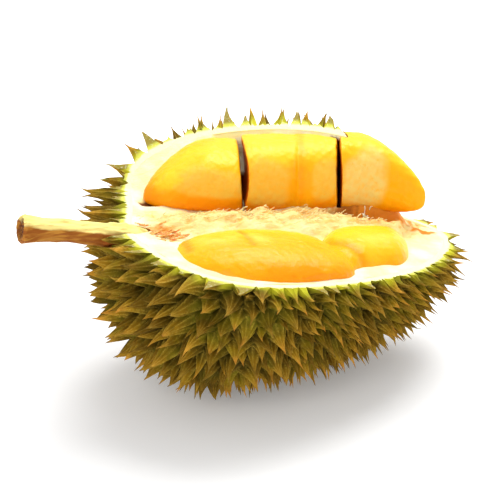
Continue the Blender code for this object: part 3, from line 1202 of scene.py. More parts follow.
@dataclass
class SpinyHusk:
    """The rind with its spines, cut open on top.

    end_zone is where the ends of the fruit begin and how long they are, in half lengths. The
    spines are already crowded behind the stem, toward -X and +Y of crowded_from.
    """

    axes: FruitAxes
    body: BodyForm
    opening: Opening
    stem_hole: Callable[[], Piece]
    rind_thickness: float = 0.0045
    spine_count: int = 1060
    spine_length: float = 0.0160
    length_spread: float = 0.13
    lean: float = 0.10
    stem_end_lean: float = 0.45
    stem_end_stretch: float = 0.25
    far_end_stretch: float = 0.14
    rear_rim_stretch: float = 0.16
    shoulder_reach: float = 1.25
    rear_rim_rise: float = 0.30
    rear_stem_trim: float = 0.20
    end_zone: tuple[float, float] = (0.35, 0.5)
    rear_rim_across: tuple[float, float] = (0.030, 0.060)
    rear_rim_height: tuple[float, float] = (-0.010, 0.015)
    crowded_from: tuple[float, float] = (-0.55, -0.10)
    filling: float = 0.9
    small_share: float = 0.80
    valley_depth: float = 0.0012
    tip_wear: float = 0.0028
    seed: int = 27
    relax_steps: int = 60
    detail: int = 2
    flare: float = 0.62
    hollow: float = 0.30
    sway: float = 0.28
    leaf_bow: float = 0.45
    grain: float = 0.0010
    grain_scale: float = 160.0
    rim_reach: float = 0.0048
    skin: HuskFinish = field(default_factory=HuskFinish)
    cut: CutRindFinish = field(default_factory=CutRindFinish)

    def directions(self) -> Array:
        """Evenly spread directions of the spines: random ones that then push each other apart.

        Returns:
            The unit directions, one a row.
        """
        rng = np.random.default_rng(self.seed)
        directions = unit(rng.normal(size=(self.spine_count, 3)))
        area = 4 * math.pi * self.body.girth_radius**2 * 1.15
        reach = 1.6 * math.sqrt(area / self.spine_count)
        for _ in range(self.relax_steps):
            points = directions * self.body.reach(directions)[:, None]
            apart = points[:, None, :] - points[None, :, :]
            distance = np.linalg.norm(apart, axis=2)
            np.fill_diagonal(distance, reach)
            push = np.maximum(1.0 - distance / reach, 0.0) / np.maximum(distance, 1e-6)
            directions = unit(points + 0.25 * reach * (apart * push[:, :, None]).sum(axis=1))
        return directions

    def filled(self, directions: Array) -> Array:
        """Adds smaller spines in some of the gaps, never in two gaps that share a side.

        Args:
            directions: The main spines' directions.

        Returns:
            The main directions, then those of the smaller spines.
        """
        triangles = self.neighbours(directions)
        order = np.random.default_rng(self.seed + 3).permutation(len(triangles))
        taken: set[tuple[int, int]] = set()
        middles = []
        for index in order[: int(self.filling * len(order))]:
            a, b, c = (int(i) for i in triangles[index])
            sides = {tuple(sorted(pair)) for pair in ((a, b), (b, c), (c, a))}
            middle = unit(directions[[a, b, c]].sum(axis=0)[None, :])[0]
            crowded = middle[0] < self.crowded_from[0] and middle[1] > self.crowded_from[1]
            if not crowded and not sides & taken:
                taken |= sides
                middles.append(middle)
        return np.vstack([directions, unit(np.array(middles))])

    def neighbours(self, directions: Array) -> Array:
        """Triangles between neighbouring spines, as index triples seen from outside.

        Args:
            directions: Unit directions, one a row.

        Returns:
            The triangles, three indices a row.
        """
        work = bmesh.new()
        for direction in directions:
            work.verts.new(direction)
        work.verts.ensure_lookup_table()
        bmesh.ops.convex_hull(work, input=work.verts)
        bmesh.ops.triangulate(work, faces=work.faces)
        work.verts.index_update()
        triangles = np.array([[v.index for v in face.verts] for face in work.faces])
        work.free()
        a, b, c = (directions[triangles[:, i]] for i in range(3))
        inward = (np.cross(b - a, c - a) * a).sum(axis=1) < 0
        triangles[inward] = triangles[inward][:, ::-1]
        return triangles

    def tips(self, directions: Array) -> tuple[Array, Array]:
        """Where each spine ends, and the bend of its middle.

        Args:
            directions: The spines' directions.

        Returns:
            The tips and the bends, one a row.
        """
        rng = np.random.default_rng(self.seed + 1)
        base = self.body.points(directions)
        normal = self.body.normals(directions)
        main, small = self.spine_count, len(base) - self.spine_count
        spread = np.r_[rng.uniform(-1, 1, main), np.zeros(small)]
        length = self.spine_length * (1.0 + self.length_spread * spread)
        lean = self.lean * np.vstack([rng.normal(size=(main, 3)), 1.6 * rng.normal(size=(small, 3))])
        start, span = self.end_zone
        near_stem = np.clip((-base[:, 0] / self.body.half_length - start) / span, 0.0, 1.0)
        near_tip = np.clip((base[:, 0] / self.body.half_length - start) / span, 0.0, 1.0)
        rear_rim = smooth_step(base[:, 1], *self.rear_rim_across)
        rear_rim = rear_rim * smooth_step(base[:, 2], *self.rear_rim_height)
        lean[:, 0] -= self.stem_end_lean * near_stem
        lean[:, 2] += self.rear_rim_rise * rear_rim
        length *= 1.0 + self.stem_end_stretch * near_stem + self.far_end_stretch * near_tip
        length *= 1.0 + self.rear_rim_stretch * rear_rim
        share = self.small_share * rng.uniform(0.8, 1.15, small)
        length[main:] *= share + (1.0 - share) * rear_rim[main:]
        length *= 1.0 - self.rear_stem_trim * near_stem * smooth_step(base[:, 1], 0.0, 0.030)
        tips = base + unit(normal + lean) * length[:, None]
        plain = directions * self.body.reach(directions)[:, None]
        tips[:, 0] -= self.shoulder_reach * self.body.drawn_in(plain)
        bend = self.sway * rng.normal(size=base.shape) + normal * (self.leaf_bow * near_stem)[:, None]
        return tips, bend * length[:, None]

    def pyramids(self) -> Piece:
        """The closed shell of plain pyramids, with each spine's foot, tip and bend stored on it.

        Returns:
            The shell.
        """
        directions = self.filled(self.directions())
        triangles = self.neighbours(directions)
        tips, bends = self.tips(directions)
        count = len(tips)
        valley_directions = unit(directions[triangles].sum(axis=1))
        valleys = self.body.points(valley_directions) - self.valley_depth * valley_directions
        across = {}
        for index, (a, b, c) in enumerate(triangles):
            for start, end in ((a, b), (b, c), (c, a)):
                across[(int(start), int(end))] = index
        faces = [(s, count + across[(e, s)], count + valley) for (s, e), valley in across.items()]
        piece = mesh_object("spiny_husk", np.vstack([tips, valleys]), faces)
        spine = np.array([face[0] for face in faces])
        feet = self.body.points(directions)
        tone = np.random.default_rng(self.seed + 2).uniform(0, 1, count)
        mesh = piece.data
        paint(mesh, "lift", np.r_[np.ones(count), np.zeros(len(valleys))])
        for name, values in (("foot", feet), ("tip", tips), ("sway", bends), ("tone", tone)):
            paint(mesh, name, values[spine], "FACE")
        for name, corner in (("left", 1), ("right", 2)):
            weights = np.zeros((len(faces), 3))
            weights[:, corner] = 1.0
            paint(mesh, name, weights.ravel(), "CORNER")
        return piece

    def grow_spines(self, piece: Piece, skin: bpy.types.Material) -> None:
        """Turns the plain pyramids into spines.

        Args:
            piece: The shell of pyramids.
            skin: The material of the rind.
        """
        values = {
            "Detail": self.detail,
            "Flare": self.flare,
            "Hollow": self.hollow,
            "Grain": self.grain,
            "Grain Scale": self.grain_scale,
            "Skin": skin,
        }
        SpineFieldTree().run(piece, values)

    def dress(self, piece: Piece, skin: bpy.types.Material) -> None:
        """Stores how near each point is to the cuts, and gives the cut faces their own finish.

        Args:
            piece: The cut husk.
            skin: The material of the rind.
        """
        mesh = piece.data
        points = coordinates(mesh)
        distance = self.opening.edge_distance(points)
        rise = self.body.rise(points)
        paint(mesh, "rise_mm", rise * 1000.0)
        patchy = 0.0018 * ripple(points, 0.020, 5)
        near = 1.0 - smooth_step(distance + patchy, 0.0002, self.rim_reach)
        low = 1.0 - smooth_step(rise + 0.002 * ripple(points, 0.012, 6), 0.0020, 0.0085)
        paint(mesh, "rim", near * low)
        centres, normals = (read(mesh.polygons, name, width=3) for name in ("center", "normal"))
        flat = np.zeros(len(centres), bool)
        for plane in (self.opening.front, self.opening.front_side, self.opening.rear, self.opening.end):
            facing = normals @ unit(np.array(plane.normal)) > 0.999
            flat |= facing & (np.abs(plane.beyond(centres)) < 2e-5)
        lining = self.body.rise(centres) < -0.0035
        coat(mesh, [skin, self.cut.make()], flat | lining, sharp_from=38)

    def make(self) -> Piece:
        """Builds the husk.

        Returns:
            The finished piece.
        """
        piece = self.pyramids()
        skin = self.skin.make()
        self.grow_spines(piece, skin)
        down = self.axes.down()
        lowest = max(coordinates(piece.data) @ np.array(down))
        level = down * (lowest - self.tip_wear)
        combine(piece, block("cut_floor", [CutPlane(tuple(level), tuple(down))]), Operation.CUT)
        for cutter in self.opening.husk_blocks():
            combine(piece, cutter, Operation.CUT)
        combine(piece, BodyForm(inset=self.rind_thickness).solid("cut_inner"), Operation.CUT)
        combine(piece, self.stem_hole(), Operation.CUT)
        self.dress(piece, skin)
        self.axes.place(piece)
        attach(piece, BODY)
        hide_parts("husk")
        LOG.info("%s: %d faces", piece.name, len(piece.data.polygons))
        return piece


# ---- pods


@dataclass(frozen=True)
class PodForm:
    """One fleshy pod: a soft-cornered bar along X whose two ends taper and bend on their own.

    reach, ends and the bends go first with the stem end, then with the far end. top_slope
    lifts the back of the pod and climb lifts its far end. leans slant each end face toward
    the back, and uprights slant it with height. The pod stays inside the body drawn in by
    room_inset, except that over_end frees it where the far end of the husk is cut away.
    """

    name: str
    centre: Point
    reach: tuple[float, float]
    half: tuple[float, float]
    ends: tuple[float, float]
    top_slope: float = 0.0
    stem_bend: tuple[float, float] = (0.0, 0.0)
    tip_bend: tuple[float, float] = (0.0, 0.0)
    room_inset: float = 0.0075
    leans: tuple[float, float] = (0.0, 0.0)
    uprights: tuple[float, float] = (0.0, 0.0)
    climb: float = 0.0
    over_end: bool = False
    squareness: float = 3.0

    def stations(self, count: int = 64) -> Array:
        """Places along the pod from -1 to 1, closer together toward the ends.

        Args:
            count: How many even places there are, with about as many again near the ends.

        Returns:
            The places.
        """
        turn = np.linspace(0.0, math.pi / 2, count // 2)
        near = -np.cos(turn) ** (2.0 / self.ends[0])
        far = np.cos(turn[::-1]) ** (2.0 / self.ends[1])
        even = np.linspace(-0.97, 0.97, count)
        return np.unique(np.round(np.r_[near, far, even], 5))

    def surface(self, grow: float, segments: int) -> tuple[Array, int]:
        """Points of the pod's rings.

        Args:
            grow: How much wider than the pod.
            segments: Vertices in a ring.

        Returns:
            The points and the number of rings.
        """
        along = self.stations()[1:-1]
        turn = full_turn(segments)
        wide = np.sign(np.cos(turn)) * np.abs(np.cos(turn)) ** (2.0 / self.squareness)
        tall = np.sign(np.sin(turn)) * np.abs(np.sin(turn)) ** (2.0 / self.squareness)
        side = along > 0
        power = np.where(side, self.ends[1], self.ends[0])
        narrow = (1.0 - np.abs(along) ** power) ** (1.0 / power)
        reach = np.where(side, self.reach[1], self.reach[0]) + grow
        bend = np.where(side[:, None], self.tip_bend, self.stem_bend) * (along**2)[:, None]
        u = np.repeat(along, segments)
        w = np.tile(tall, len(along)) * np.repeat(narrow, segments)
        sideways, upward = (np.repeat(bend[:, axis], segments) for axis in (0, 1))
        y = (self.half[0] + grow) * np.outer(narrow, wide).ravel()
        z = (self.half[1] + grow) * w + self.top_slope * y
        x = u * np.repeat(reach, segments)
        points = np.stack([x, y + sideways, z + upward], axis=1)
        points[:, 2] += self.climb * points[:, 0]
        return self.slanted(points + self.centre, u), len(along)

    def slanted(self, points: Array, u: Array) -> Array:
        """Points with the pod's ends slanted.

        Args:
            points: Points of the straight pod.
            u: Their places along it, from -1 to 1.

        Returns:
            The slanted points.
        """
        share = 0.5 + 0.5 * np.sign(u) * u**2
        first, last = (end_slant(points, *slant) for slant in zip(self.leans, self.uprights))
        moved = points.copy()
        moved[:, 0] += (1.0 - share) * first + share * last
        return moved

    def ends_at(self, grow: float) -> Array:
        """The two pole points.

        Args:
            grow: How much longer the pod is at each end.

        Returns:
            The stem-end pole, then the tip-end pole.
        """
        middle = np.array(self.centre)
        first = middle + np.array((-(self.reach[0] + grow), *self.stem_bend))
        last = middle + np.array((self.reach[1] + grow, *self.tip_bend))
        first[2] -= self.climb * (self.reach[0] + grow)
        last[2] += self.climb * (self.reach[1] + grow)
        return self.slanted(np.array([first, last]), np.array([-1.0, 1.0]))

    def solid(self, name: str, grow: float = 0.0, segments: int = 72) -> Piece:
        """The pod as a closed mesh in the fruit's own axes.

        Args:
            name: The object's name.
            grow: How much wider than the pod.
            segments: Vertices in a ring.

        Returns:
            The object.
        """
        points, rings = self.surface(grow, segments)
        first, last = self.ends_at(grow)
        faces = pointed_tube_faces(rings, segments)
        return outward(mesh_object(name, np.vstack([first, points, last]), faces))

    def room(self, grow: float = 0.0) -> Piece:
        """The space that the pod stays inside.

        Args:
            grow: How much wider it is made.

        Returns:
            The solid.
        """
        inside = BodyForm(inset=self.room_inset - grow).solid("room_" + self.name)
        if self.over_end:
            opening = Opening()
            raised = [plane.moved(0.0008 - grow) for plane in (opening.front, opening.end)]
            combine(inside, block("over_end", raised), Operation.JOIN)
        return inside


POD_FORMS = (
    PodForm(
        name="rear_pod_stem_end",
        centre=(-0.0420, 0.0510, 0.0225),
        reach=(0.0455, 0.0124),
        half=(0.0270, 0.0208),
        ends=(1.7, 18.0),
        top_slope=0.20,
        stem_bend=(0.0, -0.018),
        leans=(0.0, 0.38),
        uprights=(0.0, -0.19),
    ),
    PodForm(
        name="rear_pod_mid_stem",
        centre=(-0.0080, 0.0480, 0.0264),
        reach=(0.0215, 0.0225),
        half=(0.0270, 0.0245),
        ends=(18.0, 10.0),
        top_slope=0.10,
        leans=(0.38, 0.45),
        uprights=(-0.19, -0.16),
        climb=0.09,
    ),
    PodForm(
        name="rear_pod_mid_tip",
        centre=(0.0260, 0.0440, 0.0298),
        reach=(0.0175, 0.0168),
        half=(0.0270, 0.0255),
        ends=(10.0, 18.0),
        top_slope=0.12,
        room_inset=0.0062,
        leans=(0.45, 0.50),
        uprights=(-0.16, -0.19),
        climb=0.09,
    ),
    PodForm(
        name="rear_pod_tip_end",
        centre=(0.0630, 0.0380, 0.0328),
        reach=(0.0196, 0.0410),
        half=(0.0225, 0.0262),
        ends=(16.0, 2.0),
        top_slope=0.05,
        tip_bend=(-0.034, -0.010),
        room_inset=0.0060,
        leans=(0.50, 0.0),
        uprights=(-0.19, 0.0),
        over_end=True,
    ),
    PodForm(
        name="front_pod_stem_end",
        centre=(-0.0340, -0.0470, -0.0135),
        reach=(0.0665, 0.0530),
        half=(0.0415, 0.0240),
        ends=(2.2, 2.6),
        stem_bend=(0.004, 0.002),
        squareness=2.5,
    ),
    PodForm(
        name="front_pod_tip_end",
        centre=(0.0460, -0.0300, -0.0105),
        reach=(0.0440, 0.0430),
        half=(0.0300, 0.0215),
        ends=(3.0, 1.9),
        stem_bend=(-0.024, 0.0),
        tip_bend=(0.042, 0.0),
        squareness=2.5,
    ),
)


CRACKS = (
    PodForm(
        name="crack_stem",
        centre=(-0.0295, 0.0390, 0.0360),
        reach=(0.0040, 0.0040),
        half=(0.0180, 0.0290),
        ends=(8.0, 8.0),
        leans=(0.38, 0.38),
        uprights=(-0.19, -0.19),
        squareness=6.0,
    ),
    PodForm(
        name="crack_tip",
        centre=(0.0431, 0.0350, 0.0380),
        reach=(0.0028, 0.0028),
        half=(0.0180, 0.0290),
        ends=(8.0, 8.0),
        leans=(0.50, 0.50),
        uprights=(-0.19, -0.19),
        squareness=6.0,
    ),
)


@dataclass(frozen=True)
class Film:
    """A dull pale patch where a membrane clung to a pod's front: its middle and half sizes."""

    x: float
    z: float
    wide: float
    tall: float

    def share(self, points: Array) -> Array:
        """How strongly it shows at each point.

        Args:
            points: Points, one a row.

        Returns:
            The shares, from 0 to 1.
        """
        across = (points[:, 0] - self.x) / self.wide
        up = (points[:, 2] - self.z) / self.tall
        ragged = 0.10 * ripple(points, 0.022, 81)
        return 1.0 - smooth_step((np.abs(across) ** 3 + np.abs(up) ** 3) ** (1 / 3) + ragged, 0.70, 1.05)


@dataclass(frozen=True)
class Crease:
    """A shallow soft groove along a line of places seen from above, painted with shade by its tint. With no
    depth it is a line of painted highlight instead.
    """

    line: tuple[tuple[float, float], ...]
    width: float
    depth: float
    tint: float
    slant: tuple[float, float] = (0.0, 0.0)

    def share(self, points: Array) -> Array:
        """How near each point is to the middle of the groove, from 0 to 1.

        Args:
            points: Points, one a row.

        Returns:
            The shares.
        """
        place = np.stack([points[:, 0] - end_slant(points, *self.slant), points[:, 1]], axis=1)
        nearest = np.full(len(points), 1.0)
        for start, end in zip(np.array(self.line[:-1]), np.array(self.line[1:])):
            step = end - start
            along = np.clip((place - start) @ step / (step @ step), 0.0, 1.0)
            nearest = np.minimum(nearest, np.linalg.norm(place - start - along[:, None] * step, axis=1))
        return np.exp(-((nearest / self.width) ** 2))


@dataclass(frozen=True)
class Lobe:
    """One body of flesh: the pods that have grown together in it, and how it meets its neighbours.

    The hollows sink its stem-end face and its far face, so that neighbours part in the middle.
    """

    name: str
    forms: tuple[PodForm, ...]
    hollows: tuple[float, float] = (0.0, 0.0)
    hollow_height: float = 0.030
    hollow_reach: float = 0.019
    softening: int = 5
    films: tuple[Film, ...] = ()
    painted_highlights: tuple[Crease, ...] = ()
    creases: tuple[Crease, ...] = ()
    front: bool = False
    patch: Colour = (0.860, 0.520, 0.060)


@dataclass
class FleshPods:
    """The yellow flesh in its two rows."""

    axes: FruitAxes
    lobes: tuple[Lobe, ...]
    grow: float = 0.0004
    voxel: float = 0.0010
    swell: float = 0.0007
    pucker: float = 0.00014

    def joined(self, lobe: Lobe) -> Piece:
        """Joins a lobe's pods into one soft closed body in the fruit's own axes.

        Args:
            lobe: The lobe.

        Returns:
            The piece.
        """
        piece = None
        for form in lobe.forms:
            part = form.solid("flesh_" + lobe.name, self.grow)
            combine(part, form.room(self.grow), Operation.KEEP)
            if piece is None:
                piece = part
            else:
                combine(piece, part, Operation.JOIN)
        remesh = piece.modifiers.new("even", "REMESH")
        remesh.mode = "VOXEL"
        remesh.voxel_size = self.voxel
        smooth = piece.modifiers.new("soft", "SMOOTH")
        smooth.factor = 0.5
        smooth.iterations = lobe.softening
        piece.name = "flesh_" + lobe.name
        return settle(piece)

    def shape(self, lobe: Lobe, number: int) -> Piece:
        """Builds a lobe's swollen, slightly puckered surface, parted from its neighbours.

        Args:
            lobe: The lobe.
            number: Its place in the list, which seeds its unevenness.

        Returns:
            The lobe in the fruit's own axes.
        """
        piece = self.joined(lobe)
        mesh = piece.data
        points = coordinates(mesh)
        normals = point_normals(mesh)
        sink = self.grow + self.swell * (0.5 + 0.35 * ripple(points, 0.030, 40 + number))
        sink += self.pucker * (1.0 + ripple(points, 0.0070, 60 + number))
        grooves = [crease.share(points) * smooth_step(points[:, 2], -0.012, 0.0) for crease in lobe.creases]
        for crease, groove in zip(lobe.creases, grooves):
            sink += crease.depth * groove
        points -= normals * np.clip(sink, 0.0, 0.003)[:, None]
        middle = np.clip(1.0 - ((points[:, 2] - lobe.hollow_height) / lobe.hollow_reach) ** 2, 0.0, 1.0)
        flat_stem = self.squared(points, lobe.forms[0], 0)
        flat_tip = self.squared(points, lobe.forms[-1], 1)
        near_stem = 1.0 - smooth_step(flat_stem, flat_stem.min() + 0.001, flat_stem.min() + 0.009)
        near_tip = smooth_step(flat_tip, flat_tip.max() - 0.009, flat_tip.max() - 0.001)
        points[:, 0] += middle * (lobe.hollows[0] * near_stem - lobe.hollows[1] * near_tip)
        move_to(mesh, points)
        # painted shade on the end faces that face into the cracks
        side = smooth_step(np.abs(normals[:, 0]), 0.55, 0.90)
        dark = near_stem * (lobe.hollows[0] > 0) + near_tip * (lobe.hollows[1] > 0)
        paint(mesh, "crevice_shade", side * np.clip(dark, 0, 1) * (0.55 + 0.45 * smooth_step(middle, 0.0, 0.35)))
        film = strongest([patch.share(points) for patch in lobe.films], len(points))
        facing = smooth_step(-normals[:, 1], 0.10, 0.50)
        paint(mesh, "patch", film * facing * (0.85 + 0.15 * ripple(points, 0.005, 66)))
        count = len(points)
        # painted highlight lines
        paint(mesh, "painted_highlight", strongest([painted_highlight.tint * painted_highlight.share(points) for painted_highlight in lobe.painted_highlights], count))
        # painted shade along the grooves
        creased = [crease.tint * groove for crease, groove in zip(lobe.creases, grooves)]
        self.tint(mesh, lobe, strongest(creased, count))
        return piece

    def squared(self, points: Array, form: PodForm, end: int) -> Array:
        """Places along X as they would be if the end face of this form weren't slanted."""
        return points[:, 0] - end_slant(points, form.leans[end], form.uprights[end])

    def tint(self, mesh: Mesh, lobe: Lobe, creased: Array) -> None:
        """Stores where the flesh gets painted light, bright yellow above, and painted orange shade below.

        Args:
            mesh: The lobe's mesh.
            lobe: The lobe.
            creased: How much painted shade the grooves give each point.
        """
        points = coordinates(mesh)
        world_up = point_normals(mesh) @ -np.array(self.axes.down())
        drift = ripple(points, 0.030, 90)
        if lobe.front:
            # front row: painted light toward its high back edge, painted shade at its low front edge
            far = np.maximum(points[:, 0], 0)
            upper = smooth_step(points[:, 1] + 0.35 * far + 0.004 * drift, -0.062, -0.020)
            deep_shade = 1.0 - smooth_step(points[:, 1] - 0.30 * far + 0.003 * drift, -0.090, -0.066)
        else:
            # rear pods: painted light where the surface faces up, painted shade low down
            upper = smooth_step(world_up + 0.14 * drift, 0.15, 0.95)
            deep_shade = (1.0 - smooth_step(points[:, 2] + 0.003 * drift, 0.002, 0.024)) * (1.0 - upper)
        paint(mesh, "upper", upper)
        paint(mesh, "deep_shade", np.maximum(deep_shade, creased))

    def make(self) -> list[Piece]:
        """Builds the lobes.

        Returns:
            The pieces, still in the fruit's own axes.
        """
        made = []
        for number, lobe in enumerate(self.lobes):
            piece = self.shape(lobe, number)
            coat(piece.data, [FleshFinish("flesh_of_" + lobe.name, patch=lobe.patch).make()])
            LOG.info("%s: %d faces", piece.name, len(piece.data.polygons))
            made.append(piece)
        return made

    def finish(self, made: Sequence[Piece]) -> None:
        """Puts the lobes in place and hides the solids that they stand for.

        Args:
            made: The pieces, in the order of the lobes.
        """
        for piece, lobe in zip(made, self.lobes):
            self.axes.place(piece)
            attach(piece, BODY)
            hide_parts(*[form.name for form in lobe.forms])


def durian_lobes() -> tuple[Lobe, ...]:
    """The lobes of this fruit, from the stem end, the rear row first.

    Returns:
        The lobes.
    """
    forms = {form.name: form for form in POD_FORMS}
    return (
        Lobe(
            "rear_stem_end",
            (forms["rear_pod_stem_end"],),
            hollows=(0.0, 0.0010),
            films=(Film(-0.0500, 0.0220, 0.0250, 0.0110),),
        ),
        Lobe(
            "rear_middle",
            (forms["rear_pod_mid_stem"], forms["rear_pod_mid_tip"]),
            hollows=(0.0026, 0.0006),
            films=(Film(-0.0100, 0.0270, 0.0170, 0.0175), Film(0.0290, 0.0300, 0.0120, 0.0165)),
            creases=(Crease(((0.0135, 0.0), (0.0135, 0.090)), 0.0035, 0.0006, 0.45, (0.45, -0.16)),),
        ),
        Lobe(
            "rear_tip_end",
            (forms["rear_pod_tip_end"],),
            hollows=(0.0008, 0.0),
            films=(Film(0.0590, 0.0320, 0.0190, 0.0230),),
            patch=(0.820, 0.600, 0.160),
        ),
        Lobe(
            "front_row",
            (forms["front_pod_stem_end"], forms["front_pod_tip_end"]),
            softening=14,
            front=True,
            # painted highlights on the front row's top
            painted_highlights=(
                Crease(((-0.0780, -0.0400), (-0.0480, -0.0480)), 0.0080, 0.0, 0.80),
                Crease(((-0.0300, -0.0380), (-0.0300, -0.0480)), 0.0070, 0.0, 0.35),
                Crease(((0.0300, -0.0440), (0.0600, -0.0380)), 0.0050, 0.0, 0.45),
            ),
            creases=(
                Crease(
                    ((0.0040, -0.0160), (0.0080, -0.0400), (0.0165, -0.0540), (0.0270, -0.0720)),
                    0.0040,
                    0.0012,
                    0.75,
                ),
                Crease(((-0.0528, -0.0290), (-0.0539, -0.0430), (-0.0561, -0.0580)), 0.0022, 0.0007, 0.85),
                Crease(((-0.0820, -0.0200), (-0.0900, -0.0300), (-0.0930, -0.0450)), 0.0030, 0.0004, 0.80),
            ),
        ),
    )


# ---- pith


@dataclass(frozen=True)
class SoftSpot:
    """A soft-edged coloured spot on the pith: its place, half sizes, turn and strength."""

    x: float
    y: float
    long: float
    wide: float
    strength: float = 1.0
    turn: float = 0.0

    def share(self, points: Array) -> Array:
        """How strongly it colours each point.

        Args:
            points: Points, one a row.

        Returns:
            The shares, from 0 to its strength.
        """
        dx, dy = points[:, 0] - self.x, points[:, 1] - self.y
        c, s = math.cos(self.turn), math.sin(self.turn)
        along, across = (c * dx + s * dy) / self.long, (c * dy - s * dx) / self.wide
        ragged = 0.25 * ripple(points, 0.006, 71)
        return self.strength * (1.0 - smooth_step(np.hypot(along, across) + ragged, 0.6, 1.2))


@dataclass(frozen=True)
class Dent:
    """A hollow in the pith, or a swelling where its depth is below zero."""

    x: float
    y: float
    long: float
    wide: float
    depth: float

    def share(self, x: Array, y: Array) -> Array:
        """How much of its depth it takes at each place."""
        return np.exp(-(((x - self.x) / self.long) ** 4) - ((y - self.y) / self.wide) ** 4)


